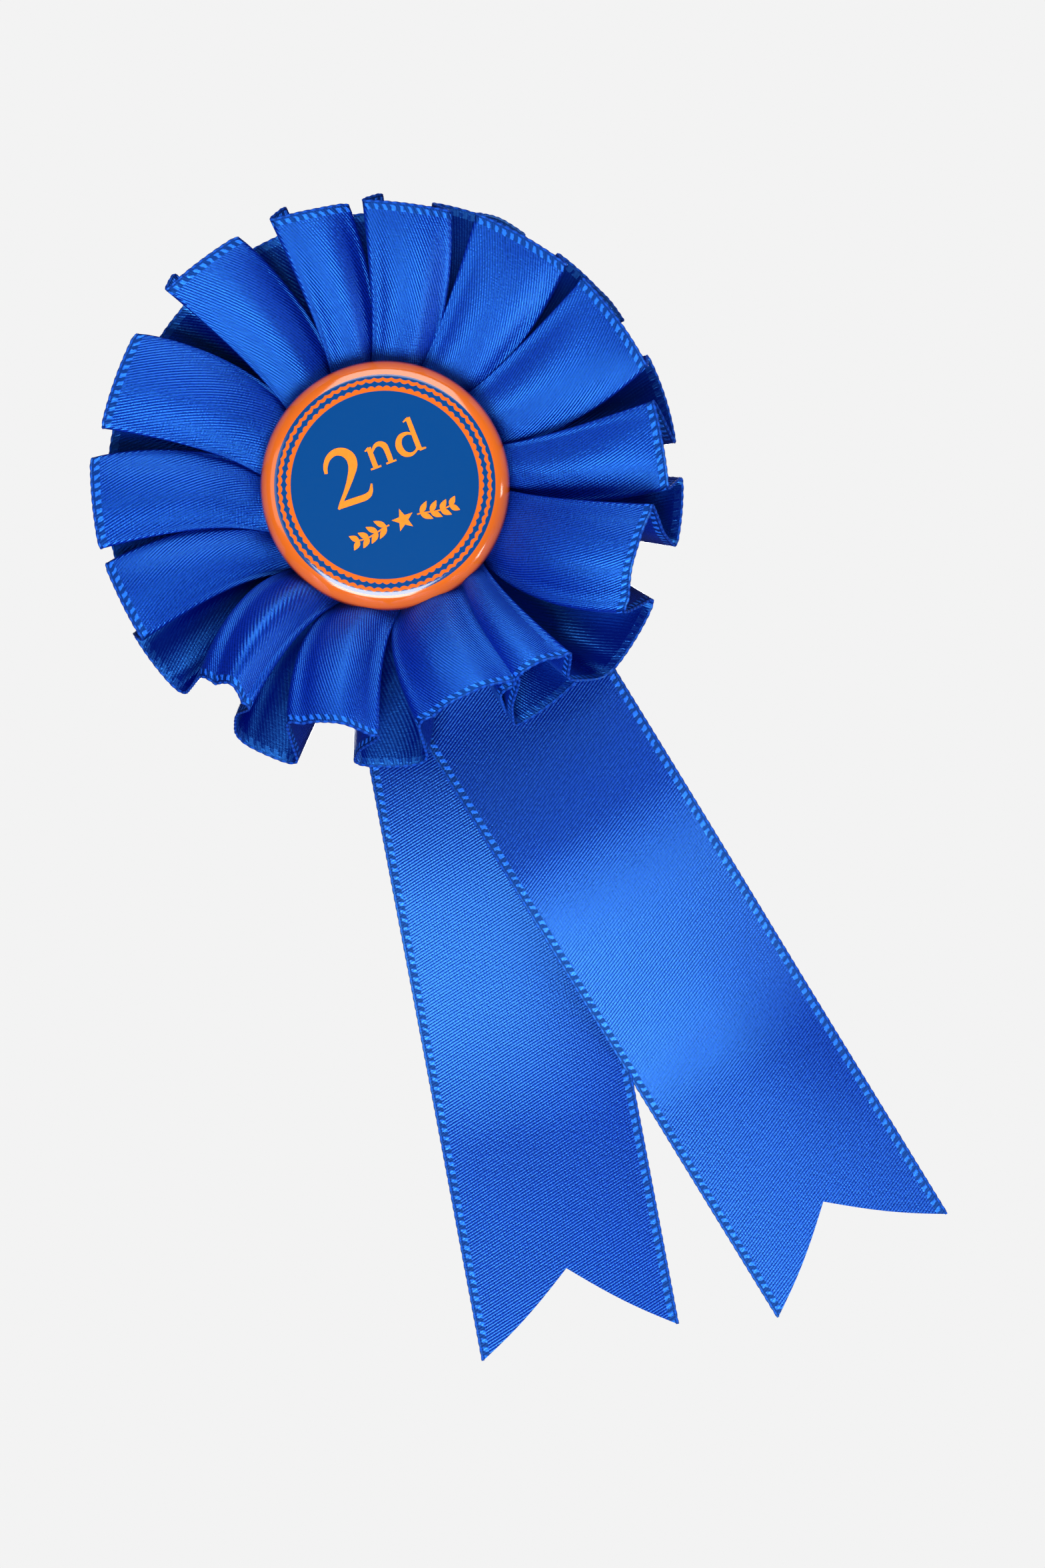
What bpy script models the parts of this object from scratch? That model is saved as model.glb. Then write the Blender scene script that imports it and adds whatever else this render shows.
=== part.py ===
"""An award rosette: a pleated satin ruffle round a button badge, two swallow-tailed ribbons and a bar pin.

Metres, +Z up, +X to the viewer's right, the face towards -Y. The origin is the middle of the pin bar's rear
face, which rests on the garment. The rosette's own axis runs along Y, a little below the pin bar.
"""

import math

import bmesh
import bpy
from mathutils import Vector

MM = 0.001

# ---- Driving dimensions ----
GAP = 0.3 * MM  # clearance between pieces that lie on each other
HINGE_GAP = 0.2 * MM  # radial clearance of the pin's rivet and lock
ROUND_SEGMENTS = 36  # sides of a large round piece
SMALL_SEGMENTS = 16  # sides of a small round piece

# The rosette's axis lies below the pin bar, so that the rosette hangs upright.
ROSETTE_Z = -8.0 * MM

RIBBON_WIDTH = 25.4 * MM
RIBBON_THICKNESS = 0.3 * MM

RUFFLE_OUTER_RADIUS = 37.0 * MM
RUFFLE_INNER_RADIUS = 12.0 * MM
RUFFLE_PLEATS = 15
RUFFLE_THICKNESS = 0.6 * MM
RUFFLE_INNER_WAVE = 0.6 * MM  # half the pleats' depth at the inner edge
RUFFLE_OUTER_WAVE = 3.4 * MM  # half the pleats' depth at the rim
RUFFLE_RIM_LIFT = 2.6 * MM  # how much further forward the rim's mean height is than the inner edge's
RUFFLE_RINGS = 5
SAMPLES_PER_PLEAT = 8

BADGE_RADIUS = 15.9 * MM
BADGE_SKIRT = 2.2 * MM  # depth of the straight rim behind the shoulder
BADGE_SHOULDER = 2.4 * MM  # radius of the rounded shoulder
BADGE_CROWN = 0.9 * MM  # rise of the face from shoulder to middle
BADGE_LAYER = 0.2 * MM  # film and print
BADGE_LAYER_GAP = 0.2 * MM
SHELL_THICKNESS = 0.35 * MM
COLLET_THICKNESS = 0.6 * MM
SHOULDER_STEPS = 4
CROWN_STEPS = 3

TAIL_TOP = 6.0 * MM  # how far the tails reach above the rosette's axis
TAIL_NOTCH = 9.7 * MM  # depth of the swallow-tail cut
TAIL_CUT_BOW = 0.5 * MM  # how far each half of the cut bows from straight
TAIL_HINGE_DROP = 38.6 * MM  # the bend line, just below the ruffle's rim, under the rosette's axis
TAIL_HINGE_SPLIT = 0.4 * MM  # gap between the fixed and the hanging length
RIGHT_TAIL = {"lean": math.radians(10.5), "start_x": 0.0, "length": 117.3 * MM}
LEFT_TAIL = {"lean": math.radians(-10.3), "start_x": 4.2 * MM, "length": 113.2 * MM}

FOUNDATION_RADIUS = 20.0 * MM
BACK_CARD_RADIUS = 22.0 * MM
CARD_THICKNESS = 0.6 * MM

STAPLE_WIRE = 0.4 * MM
STAPLE_CROWN = 4.4 * MM
STAPLE_CLINCH = 1.6 * MM  # length of each bent tip
STAPLE_OFFSET = 4.6 * MM  # each staple's distance from the middle line
STAPLE_DROP = 8.6 * MM  # below the rosette's axis

GLUE_RADIUS = 7.0 * MM
THREAD_RADIUS = 0.25 * MM

PLATE_LENGTH = 28.0 * MM
PLATE_WIDTH = 5.0 * MM
PLATE_THICKNESS = 0.6 * MM
PLATE_HOLE_RADIUS = 0.8 * MM
PLATE_HOLE_X = 7.6 * MM
PLATE_CLEAR_HALF = 5.6 * MM  # half the length of the bar's plain middle, where the garment rests
FOAM_LENGTH = 24.0 * MM
FOAM_WIDTH = 4.4 * MM
FOAM_THICKNESS = 0.6 * MM

PIN_HEIGHT = 3.2 * MM  # needle's centre line above the bar
HINGE_X = -11.4 * MM
RIVET_RADIUS = 0.5 * MM
RIVET_HEAD_RADIUS = 0.95 * MM
RIVET_HEAD = 0.4 * MM
EYE_OUTER_RADIUS = 1.3 * MM
EYE_HALF_WIDTH = 0.7 * MM
EAR_THICKNESS = 0.7 * MM
EAR_RADIUS = 1.5 * MM
NEEDLE_RADIUS = 0.4 * MM
NEEDLE_TIP_X = 13.6 * MM
NEEDLE_POINT = 4.5 * MM  # length of the tapered point

CATCH_X = (9.2 * MM, 11.6 * MM)
CATCH_OUTER_RADIUS = 2.1 * MM
CATCH_INNER_RADIUS = 1.7 * MM
CATCH_OPENING = math.radians(48)  # half the angle of the mouth
CATCH_FOOT_HALF = 0.9 * MM
ROTOR_X = (8.7 * MM, 12.9 * MM)
ROTOR_INNER_RADIUS = 0.8 * MM
ROTOR_SLOT_HALF = 0.68 * MM
TAB_LENGTH = 1.0 * MM
TAB_REACH = 2.85 * MM
TAB_HALF_WIDTH = 0.5 * MM
ARC_STEPS = 10


# ---- The stack of layers, each a (rear, front) pair of Y values ----
def next_layer(behind, thickness, gap=GAP):
    """The layer in front of another one, with a gap between."""
    rear = behind[1] - gap
    return rear, rear - thickness


PLATE_Y = (0.0, -PLATE_THICKNESS)
FOAM_Y = next_layer(PLATE_Y, FOAM_THICKNESS)
BACK_CARD_Y = next_layer(FOAM_Y, CARD_THICKNESS)
CROWN_Y = next_layer(BACK_CARD_Y, STAPLE_WIRE)
LEFT_TAIL_Y = next_layer(CROWN_Y, RIBBON_THICKNESS)
RIGHT_TAIL_Y = next_layer(LEFT_TAIL_Y, RIBBON_THICKNESS)
FOUNDATION_Y = next_layer(RIGHT_TAIL_Y, CARD_THICKNESS)
CLINCH_Y = next_layer(FOUNDATION_Y, STAPLE_WIRE)

RUFFLE_INNER_Y = FOUNDATION_Y[1] - GAP - RUFFLE_INNER_WAVE - RUFFLE_THICKNESS
BADGE_REAR_Y = RUFFLE_INNER_Y - RUFFLE_INNER_WAVE - RUFFLE_THICKNESS - 3 * GAP
GLUE_Y = (CLINCH_Y[1] - GAP, BADGE_REAR_Y + GAP)
TAIL_HINGE_Z = ROSETTE_Z - TAIL_HINGE_DROP

ROSETTE_AXIS = Vector((0.0, 0.0, ROSETTE_Z))
HINGE_POINT = Vector((HINGE_X, PIN_HEIGHT, 0.0))
X_AXIS = Vector((1, 0, 0))
Y_AXIS = Vector((0, 1, 0))
Z_AXIS = Vector((0, 0, 1))

# Each finish is (linear colour, roughness, metallic).
FINISHES = {
    "satin_ribbon": ((0.010, 0.061, 0.515), 0.35, 0.0),
    "print": ((0.000, 0.076, 0.328), 0.5, 0.0),
    "clear_film": ((0.900, 0.950, 1.000), 0.08, 0.0),
    "tinplate": ((0.620, 0.630, 0.640), 0.3, 1.0),
    "nickel": ((0.700, 0.690, 0.670), 0.22, 1.0),
    "card": ((0.840, 0.830, 0.790), 0.85, 0.0),
    "glue": ((0.780, 0.720, 0.560), 0.4, 0.0),
    "foam": ((0.900, 0.900, 0.880), 0.9, 0.0),
    "thread": ((0.012, 0.055, 0.420), 0.7, 0.0),
}


# ---- Building tools ----
def new_material(node_name, finish):
    """A node's own Principled material in one of the finishes."""
    colour, roughness, metallic = FINISHES[finish]
    material = bpy.data.materials.new(f"{node_name}_{finish}")
    material.use_nodes = True
    shader = material.node_tree.nodes["Principled BSDF"]
    shader.inputs["Base Color"].default_value = (*colour, 1.0)
    shader.inputs["Roughness"].default_value = roughness
    shader.inputs["Metallic"].default_value = metallic
    return material


def new_object(name, bm, finish=None):
    """Turns a bmesh into an object, normals out; with no finish it only cuts or joins onto others."""
    bmesh.ops.recalc_face_normals(bm, faces=bm.faces)
    mesh = bpy.data.meshes.new(name)
    bm.to_mesh(mesh)
    bm.free()
    mesh.shade_smooth()
    mesh.set_sharp_from_angle(angle=math.radians(35))
    obj = bpy.data.objects.new(name, mesh)
    bpy.context.scene.collection.objects.link(obj)
    if finish:
        mesh.materials.append(new_material(name, finish))
    else:
        obj.hide_render = True
        obj.display_type = "WIRE"
    return obj


def combine(obj, other, operation):
    """Cuts another shape out of an object or joins it on."""
    modifier = obj.modifiers.new(f"{operation.lower()}_{other.name}", "BOOLEAN")
    modifier.operation = operation
    modifier.solver = "EXACT"
    modifier.object = other


def set_origin(obj, point):
    """Moves an object's origin to a point on its joint's axis and leaves its shape where it is."""
    for vertex in obj.data.vertices:
        vertex.co -= point
    obj.location = point


def bridge(bm, ring, following):
    """Faces between two rings of vertices; a ring of one vertex is a pole."""
    if len(ring) == 1 and len(following) == 1:
        return
    count = max(len(ring), len(following))
    for i in range(count):
        j = (i + 1) % count
        if len(ring) == 1:
            bm.faces.new((ring[0], following[i], following[j]))
        elif len(following) == 1:
            bm.faces.new((ring[i], following[0], ring[j]))
        else:
            bm.faces.new((ring[i], following[i], following[j], ring[j]))


def turned(name, profile, centre, axis, finish=None, segments=ROUND_SEGMENTS):
    """A body turned about an axis. The profile is a closed loop of (radius, distance along the axis)."""
    across = Z_AXIS if axis != Z_AXIS else X_AXIS
    side = axis.cross(across)
    bm = bmesh.new()
    rings = []
    for radius, along in profile:
        middle = centre + axis * along
        turns = [0.0] if radius == 0.0 else [math.tau * i / segments for i in range(segments)]
        rings.append(
            [bm.verts.new(middle + radius * (across * math.cos(t) + side * math.sin(t))) for t in turns]
        )
    for ring, following in zip(rings, rings[1:] + rings[:1]):
        bridge(bm, ring, following)
    return new_object(name, bm, finish)


def extruded(name, outlines, offset, finish=None):
    """A body with flat ends, from flat outlines that share their common points, pushed along offset."""
    bm = bmesh.new()
    made = {}
    faces = []
    for outline in outlines:
        corners = []
        for point in outline:
            key = tuple(round(c / (0.001 * MM)) for c in point)
            if key not in made:
                made[key] = bm.verts.new(point)
            corners.append(made[key])
        faces.append(bm.faces.new(corners))
    grown = bmesh.ops.extrude_face_region(bm, geom=faces)
    tops = [item for item in grown["geom"] if isinstance(item, bmesh.types.BMVert)]
    bmesh.ops.translate(bm, vec=offset, verts=tops)
    return new_object(name, bm, finish)


def arc(radius, start, end, steps=ARC_STEPS):
    """Points (a, b) along an arc, its angle measured from the first axis."""
    angles = [start + (end - start) * i / steps for i in range(steps + 1)]
    return [(radius * math.cos(t), radius * math.sin(t)) for t in angles]


def box_outline(x_range, z_range, y):
    """A rectangle in a plane of constant Y."""
    (x0, x1), (z0, z1) = x_range, z_range
    return [Vector(p) for p in ((x0, y, z0), (x1, y, z0), (x1, y, z1), (x0, y, z1))]


# ---- Badge ----
def dome(radius, front_y, shoulder):
    """Points (radius, y) from the middle of the face over the shoulder to the top of the straight rim."""
    flat_radius = radius - shoulder
    points = []
    for i in range(CROWN_STEPS):
        share = i / CROWN_STEPS
        points.append((flat_radius * share, front_y + BADGE_CROWN * share * share))
    for i in range(SHOULDER_STEPS + 1):
        turn = 0.5 * math.pi * i / SHOULDER_STEPS
        points.append(
            (
                flat_radius + shoulder * math.sin(turn),
                front_y + BADGE_CROWN + shoulder * (1 - math.cos(turn)),
            )
        )
    return points


def domed_cup(name, inset, thickness, finish):
    """One wrapped layer of the badge: a domed face with a rim, inset from the outermost surface."""
    front_y = BADGE_REAR_Y - BADGE_SKIRT - BADGE_SHOULDER - BADGE_CROWN + inset
    outside = dome(BADGE_RADIUS - inset, front_y, BADGE_SHOULDER - inset)
    inner = inset + thickness
    inside = dome(BADGE_RADIUS - inner, front_y + thickness, BADGE_SHOULDER - inner)
    rim = [(BADGE_RADIUS - inset, BADGE_REAR_Y), (BADGE_RADIUS - inner, BADGE_REAR_Y)]
    return turned(name, outside + rim + inside[::-1], ROSETTE_AXIS, Y_AXIS, finish)


def badge():
    """Film, print and tin shell, one inside the other, closed by the collet."""
    print_inset = BADGE_LAYER + BADGE_LAYER_GAP
    shell_inset = print_inset + BADGE_LAYER + BADGE_LAYER_GAP
    domed_cup("badge_film", 0.0, BADGE_LAYER, "clear_film")
    domed_cup("badge_print", print_inset, BADGE_LAYER, "print")
    domed_cup("badge_shell", shell_inset, SHELL_THICKNESS, "tinplate")
    radius = BADGE_RADIUS - shell_inset - SHELL_THICKNESS - GAP
    rear = BADGE_REAR_Y
    front = rear - COLLET_THICKNESS
    lip = front - COLLET_THICKNESS
    profile = [(0.0, rear), (radius, rear), (radius, lip), (radius - COLLET_THICKNESS, lip)]
    profile += [(radius - COLLET_THICKNESS, front), (0.0, front)]
    turned("badge_collet", profile, ROSETTE_AXIS, Y_AXIS, "tinplate")
    dab = [(0.0, GLUE_Y[0]), (0.8 * GLUE_RADIUS, GLUE_Y[0]), (GLUE_RADIUS, 0.5 * sum(GLUE_Y))]
    dab += [(0.8 * GLUE_RADIUS, GLUE_Y[1]), (0.0, GLUE_Y[1])]
    turned("badge_glue", dab, ROSETTE_AXIS, Y_AXIS, "glue", SMALL_SEGMENTS)


# ---- Ruffle ----
def pleat_wave(turn):
    """From -1, a front panel, to 1, a back panel, with flat panels and soft folds between."""
    wave = 1.6 * math.sin(RUFFLE_PLEATS * turn)
    return max(-1.0, min(1.0, wave))


def ruffle_y(turn, share):
    """Height of the ruffle's middle surface at a share of the way from the inner edge to the rim."""
    depth = RUFFLE_INNER_WAVE + (RUFFLE_OUTER_WAVE - RUFFLE_INNER_WAVE) * share
    return RUFFLE_INNER_Y - RUFFLE_RIM_LIFT * share + depth * pleat_wave(turn)


def ruffle():
    """The pleated ring, its inner edge under the badge, and the thread that gathers it."""
    samples = RUFFLE_PLEATS * SAMPLES_PER_PLEAT
    bm = bmesh.new()
    loops = []
    for side in (-0.5, 0.5):
        steps = range(RUFFLE_RINGS) if side < 0 else reversed(range(RUFFLE_RINGS))
        for step in steps:
            share = step / (RUFFLE_RINGS - 1)
            radius = RUFFLE_INNER_RADIUS + (RUFFLE_OUTER_RADIUS - RUFFLE_INNER_RADIUS) * share
            loop = []
            for i in range(samples):
                turn = math.tau * i / samples
                y = ruffle_y(turn, share) + side * RUFFLE_THICKNESS
                loop.append(
                    bm.verts.new((radius * math.cos(turn), y, ROSETTE_Z + radius * math.sin(turn)))
                )
            loops.append(loop)
    for loop, following in zip(loops, loops[1:] + loops[:1]):
        bridge(bm, loop, following)
    new_object("ruffle_ribbon", bm, "satin_ribbon")

    thread_circle = RUFFLE_INNER_RADIUS - GAP - THREAD_RADIUS
    profile = [(thread_circle + a, RUFFLE_INNER_Y + b) for a, b in arc(THREAD_RADIUS, 0, math.tau, 6)[:-1]]
    turned("gathering_thread", profile, ROSETTE_AXIS, Y_AXIS, "thread")


# ---- Tails ----
def tail_point(tail, across, down, y):
    """A point on a tail, from its distance across from the middle line and down from the rosette's axis."""
    lean = tail["lean"]
    x = tail["start_x"] + down * math.sin(lean) + across * math.cos(lean)
    z = ROSETTE_Z - down * math.cos(lean) + across * math.sin(lean)
    return Vector((x, y, z))


def down_at_height(tail, across, z):
    """How far down a tail's edge reaches a height."""
    lean = tail["lean"]
    return (ROSETTE_Z + across * math.sin(lean) - z) / math.cos(lean)


def swallow_cut(tail):
    """The (across, down) points of the cut end, from the right tip over the notch to the left tip."""
    half = 0.5 * RIBBON_WIDTH
    length = tail["length"]
    notch = length - TAIL_NOTCH
    middle = 0.5 * (length + notch)
    return [
        (half, length),
        (0.5 * half, middle - TAIL_CUT_BOW),
        (0.0, notch),
        (-0.5 * half, middle - TAIL_CUT_BOW),
        (-half, length),
    ]


def tail(side, shape, layer, leg_cutter):
    """A tail as its fixed upper length, stapled to the card, and the length that hangs below the ruffle."""
    half = 0.5 * RIBBON_WIDTH
    rear, front = layer
    offset = Vector((0, front - rear, 0))
    split_top = TAIL_HINGE_Z + 0.5 * TAIL_HINGE_SPLIT
    split_bottom = TAIL_HINGE_Z - 0.5 * TAIL_HINGE_SPLIT
    upper = [(-half, -TAIL_TOP), (half, -TAIL_TOP)]
    upper += [(a, down_at_height(shape, a, split_top)) for a in (half, -half)]
    lower = [(a, down_at_height(shape, a, split_bottom)) for a in (-half, half)]
    lower += swallow_cut(shape)
    upper_points = [tail_point(shape, across, down, rear) for across, down in upper]
    lower_points = [tail_point(shape, across, down, rear) for across, down in lower]
    fixed = extruded(f"{side}_tail_upper", [upper_points], offset, "satin_ribbon")
    combine(fixed, leg_cutter, "DIFFERENCE")
    hanging = extruded(f"{side}_tail_lower", [lower_points], offset, "satin_ribbon")
    set_origin(hanging, Vector((0.0, 0.5 * (rear + front), TAIL_HINGE_Z)))


# ---- Cards and staples ----
def staple_leg_xs():
    """The X of every staple leg, as (staple centre, leg centre) pairs."""
    half = 0.5 * (STAPLE_CROWN - STAPLE_WIRE)
    return [(c, c + s * half) for c in (-STAPLE_OFFSET, STAPLE_OFFSET) for s in (-1, 1)]


def staple_cutter():
    """The four holes that the staples' legs pass through."""
    reach = 0.5 * STAPLE_WIRE + GAP
    z = ROSETTE_Z - STAPLE_DROP
    outlines = [
        box_outline((x - reach, x + reach), (z - reach, z + reach), CROWN_Y[1] + 0.5 * GAP)
        for _, x in staple_leg_xs()
    ]
    offset = Vector((0, CLINCH_Y[0] - CROWN_Y[1] - GAP, 0))
    return extruded("staple_leg_holes", outlines, offset)


def staple(name, middle_x):
    """A wire staple: its crown behind the tails and its tips clinched in front of the card."""
    half = 0.5 * STAPLE_CROWN
    inner = half - STAPLE_WIRE
    clinch = half - STAPLE_CLINCH
    outline = [(-half, CROWN_Y[0]), (half, CROWN_Y[0]), (half, CLINCH_Y[1]), (clinch, CLINCH_Y[1])]
    outline += [(clinch, CLINCH_Y[0]), (inner, CLINCH_Y[0]), (inner, CROWN_Y[1]), (-inner, CROWN_Y[1])]
    outline += [(-inner, CLINCH_Y[0]), (-clinch, CLINCH_Y[0]), (-clinch, CLINCH_Y[1]), (-half, CLINCH_Y[1])]
    z = ROSETTE_Z - STAPLE_DROP - 0.5 * STAPLE_WIRE
    points = [Vector((middle_x + x, y, z)) for x, y in outline]
    extruded(name, [points], Vector((0, 0, STAPLE_WIRE)), "nickel")


def card_disc(name, radius, layer):
    """A round card."""
    rear, front = layer
    profile = [(0.0, rear), (radius, rear), (radius, front), (0.0, front)]
    return turned(name, profile, ROSETTE_AXIS, Y_AXIS, "card")


# ---- Bar pin ----
def plate_outlines():
    """The bar in three sections that share their edges: a plain middle and two rounded ends."""
    half_length = 0.5 * PLATE_LENGTH
    half_width = 0.5 * PLATE_WIDTH
    round_x = half_length - half_width
    end = [(round_x + a, b) for a, b in arc(half_width, -0.5 * math.pi, 0.5 * math.pi)]
    right = [(PLATE_CLEAR_HALF, -half_width)] + end + [(PLATE_CLEAR_HALF, half_width)]
    left = [(-x, z) for x, z in reversed(right)]
    middle = [(s * PLATE_CLEAR_HALF, t * half_width) for s, t in ((-1, -1), (1, -1), (1, 1), (-1, 1))]
    return [[Vector((x, PLATE_Y[0], z)) for x, z in outline] for outline in (left, middle, right)]


def hinge_ear(name, z):
    """An upturned ear of the bar, rounded round the rivet."""
    foot = PLATE_Y[0] - 0.5 * PLATE_THICKNESS
    top = [(PIN_HEIGHT + b, a) for a, b in arc(EAR_RADIUS, 0, math.pi)]
    outline = [(foot, EAR_RADIUS)] + top + [(foot, -EAR_RADIUS)]
    points = [Vector((HINGE_X + x, y, z)) for y, x in outline]
    return extruded(name, [points], Vector((0, 0, EAR_THICKNESS)))


def rod(name, radius, centre, axis, start, end, finish=None):
    """A plain round rod."""
    profile = [(0.0, start), (radius, start), (radius, end), (0.0, end)]
    return turned(name, profile, centre, axis, finish, SMALL_SEGMENTS)


def pin_plate():
    """The bar with its ears, its rivet bore and its two glue holes."""
    plate = extruded("pin_plate", plate_outlines(), Vector((0, PLATE_Y[1] - PLATE_Y[0], 0)), "nickel")
    ear_z = EYE_HALF_WIDTH + HINGE_GAP
    combine(plate, hinge_ear("upper_ear", ear_z), "UNION")
    combine(plate, hinge_ear("lower_ear", -ear_z - EAR_THICKNESS), "UNION")
    reach = ear_z + 2 * EAR_THICKNESS
    bore = rod("rivet_bore", RIVET_RADIUS + HINGE_GAP, HINGE_POINT, Z_AXIS, -reach, reach)
    combine(plate, bore, "DIFFERENCE")
    for name, x in (("left_glue_hole", -PLATE_HOLE_X), ("right_glue_hole", PLATE_HOLE_X)):
        middle = Vector((x, 0, 0))
        hole = rod(name, PLATE_HOLE_RADIUS, middle, Y_AXIS, -2 * PLATE_THICKNESS, PLATE_THICKNESS)
        combine(plate, hole, "DIFFERENCE")


def hinge_rivet():
    """The headed rivet that the needle turns on."""
    shank = EYE_HALF_WIDTH + HINGE_GAP + EAR_THICKNESS + HINGE_GAP
    top = shank + RIVET_HEAD
    profile = [(0.0, -top), (RIVET_HEAD_RADIUS, -top), (RIVET_HEAD_RADIUS, -shank), (RIVET_RADIUS, -shank)]
    profile += [(RIVET_RADIUS, shank), (RIVET_HEAD_RADIUS, shank), (RIVET_HEAD_RADIUS, top), (0.0, top)]
    turned("hinge_rivet", profile, HINGE_POINT, Z_AXIS, "nickel", SMALL_SEGMENTS)


def pin_needle():
    """The eye round the rivet with the tapered needle joined on."""
    inner = RIVET_RADIUS + HINGE_GAP
    width = EYE_HALF_WIDTH
    eye = [(inner, -width), (EYE_OUTER_RADIUS, -width), (EYE_OUTER_RADIUS, width), (inner, width)]
    needle = turned("pin_needle", eye, HINGE_POINT, Z_AXIS, "nickel", SMALL_SEGMENTS)
    start = HINGE_X + 0.5 * (inner + EYE_OUTER_RADIUS)
    taper = NEEDLE_TIP_X - NEEDLE_POINT
    profile = [(0.0, start), (NEEDLE_RADIUS, start), (NEEDLE_RADIUS, taper)]
    profile += [(0.6 * NEEDLE_RADIUS, 0.5 * (taper + NEEDLE_TIP_X)), (0.0, NEEDLE_TIP_X)]
    axis_point = Vector((0, PIN_HEIGHT, 0))
    shaft = turned("needle_shaft", profile, axis_point, X_AXIS, None, SMALL_SEGMENTS)
    set_origin(needle, HINGE_POINT)
    combine(needle, shaft, "UNION")


def catch_housing():
    """The rolled catch, its mouth away from the bar, on a foot."""
    outer = arc(CATCH_OUTER_RADIUS, CATCH_OPENING, math.tau - CATCH_OPENING, 2 * ARC_STEPS)
    inner = arc(CATCH_INNER_RADIUS, math.tau - CATCH_OPENING, CATCH_OPENING, 2 * ARC_STEPS)
    foot_y = GAP - PIN_HEIGHT
    shank = math.asin(CATCH_FOOT_HALF / CATCH_OUTER_RADIUS)
    before = [p for p in outer if p[1] > 0 and math.atan2(p[1], p[0]) < math.pi - shank]
    after = [(a, -b) for a, b in reversed(before)]
    foot = [(-CATCH_OUTER_RADIUS * math.cos(shank), CATCH_FOOT_HALF), (foot_y, CATCH_FOOT_HALF)]
    outline = before + foot + [(a, -b) for a, b in reversed(foot)] + after + inner
    points = [Vector((CATCH_X[0], PIN_HEIGHT + a, b)) for a, b in outline]
    extruded("catch_housing", [points], Vector((CATCH_X[1] - CATCH_X[0], 0, 0)), "nickel")


def catch_rotor():
    """The slotted lock that turns round the needle, with its thumb tab."""
    outer_radius = CATCH_INNER_RADIUS - HINGE_GAP
    outer_start = math.asin(ROTOR_SLOT_HALF / outer_radius)
    inner_start = math.asin(ROTOR_SLOT_HALF / ROTOR_INNER_RADIUS)
    outline = arc(outer_radius, outer_start, math.tau - outer_start, 2 * ARC_STEPS)
    outline += arc(ROTOR_INNER_RADIUS, math.tau - inner_start, inner_start, 2 * ARC_STEPS)
    axis_point = Vector((0, PIN_HEIGHT, 0))
    points = [axis_point + Vector((ROTOR_X[0], a, b)) for a, b in outline]
    rotor = extruded("catch_rotor", [points], Vector((ROTOR_X[1] - ROTOR_X[0], 0, 0)), "nickel")
    tab_bottom = 0.5 * (ROTOR_INNER_RADIUS + outer_radius)
    tab_outline = [(-TAB_HALF_WIDTH, tab_bottom), (TAB_HALF_WIDTH, tab_bottom)]
    tab_outline += [(a, TAB_REACH - TAB_HALF_WIDTH + b) for a, b in arc(TAB_HALF_WIDTH, 0, math.pi)]
    tab_points = [axis_point + Vector((ROTOR_X[1] - TAB_LENGTH, a, b)) for a, b in tab_outline]
    tab = extruded("thumb_tab", [tab_points], Vector((TAB_LENGTH, 0, 0)))
    set_origin(rotor, axis_point)
    combine(rotor, tab, "UNION")


def foam_pad():
    """The adhesive strip between the bar and the back card."""
    half_length, half_width = 0.5 * FOAM_LENGTH, 0.5 * FOAM_WIDTH
    outline = box_outline((-half_length, half_length), (-half_width, half_width), FOAM_Y[0])
    extruded("foam_pad", [outline], Vector((0, FOAM_Y[1] - FOAM_Y[0], 0)), "foam")


def main():
    """Builds the rosette from the pin forward to the badge."""
    for obj in list(bpy.data.objects):
        bpy.data.objects.remove(obj)
    leg_cutter = staple_cutter()
    pin_plate()
    hinge_rivet()
    pin_needle()
    catch_housing()
    catch_rotor()
    foam_pad()
    card_disc("back_card", BACK_CARD_RADIUS, BACK_CARD_Y)
    foundation = card_disc("foundation_card", FOUNDATION_RADIUS, FOUNDATION_Y)
    combine(foundation, leg_cutter, "DIFFERENCE")
    staple("tail_staple_left", -STAPLE_OFFSET)
    staple("tail_staple_right", STAPLE_OFFSET)
    tail("left", LEFT_TAIL, LEFT_TAIL_Y, leg_cutter)
    tail("right", RIGHT_TAIL, RIGHT_TAIL_Y, leg_cutter)
    ruffle()
    badge()


main()
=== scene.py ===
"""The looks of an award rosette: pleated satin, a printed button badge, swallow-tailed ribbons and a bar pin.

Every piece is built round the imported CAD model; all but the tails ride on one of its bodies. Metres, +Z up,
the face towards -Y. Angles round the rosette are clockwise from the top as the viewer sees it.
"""

import math
from collections import namedtuple

import bpy
import numpy as np
from mathutils import Matrix, Vector


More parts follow.
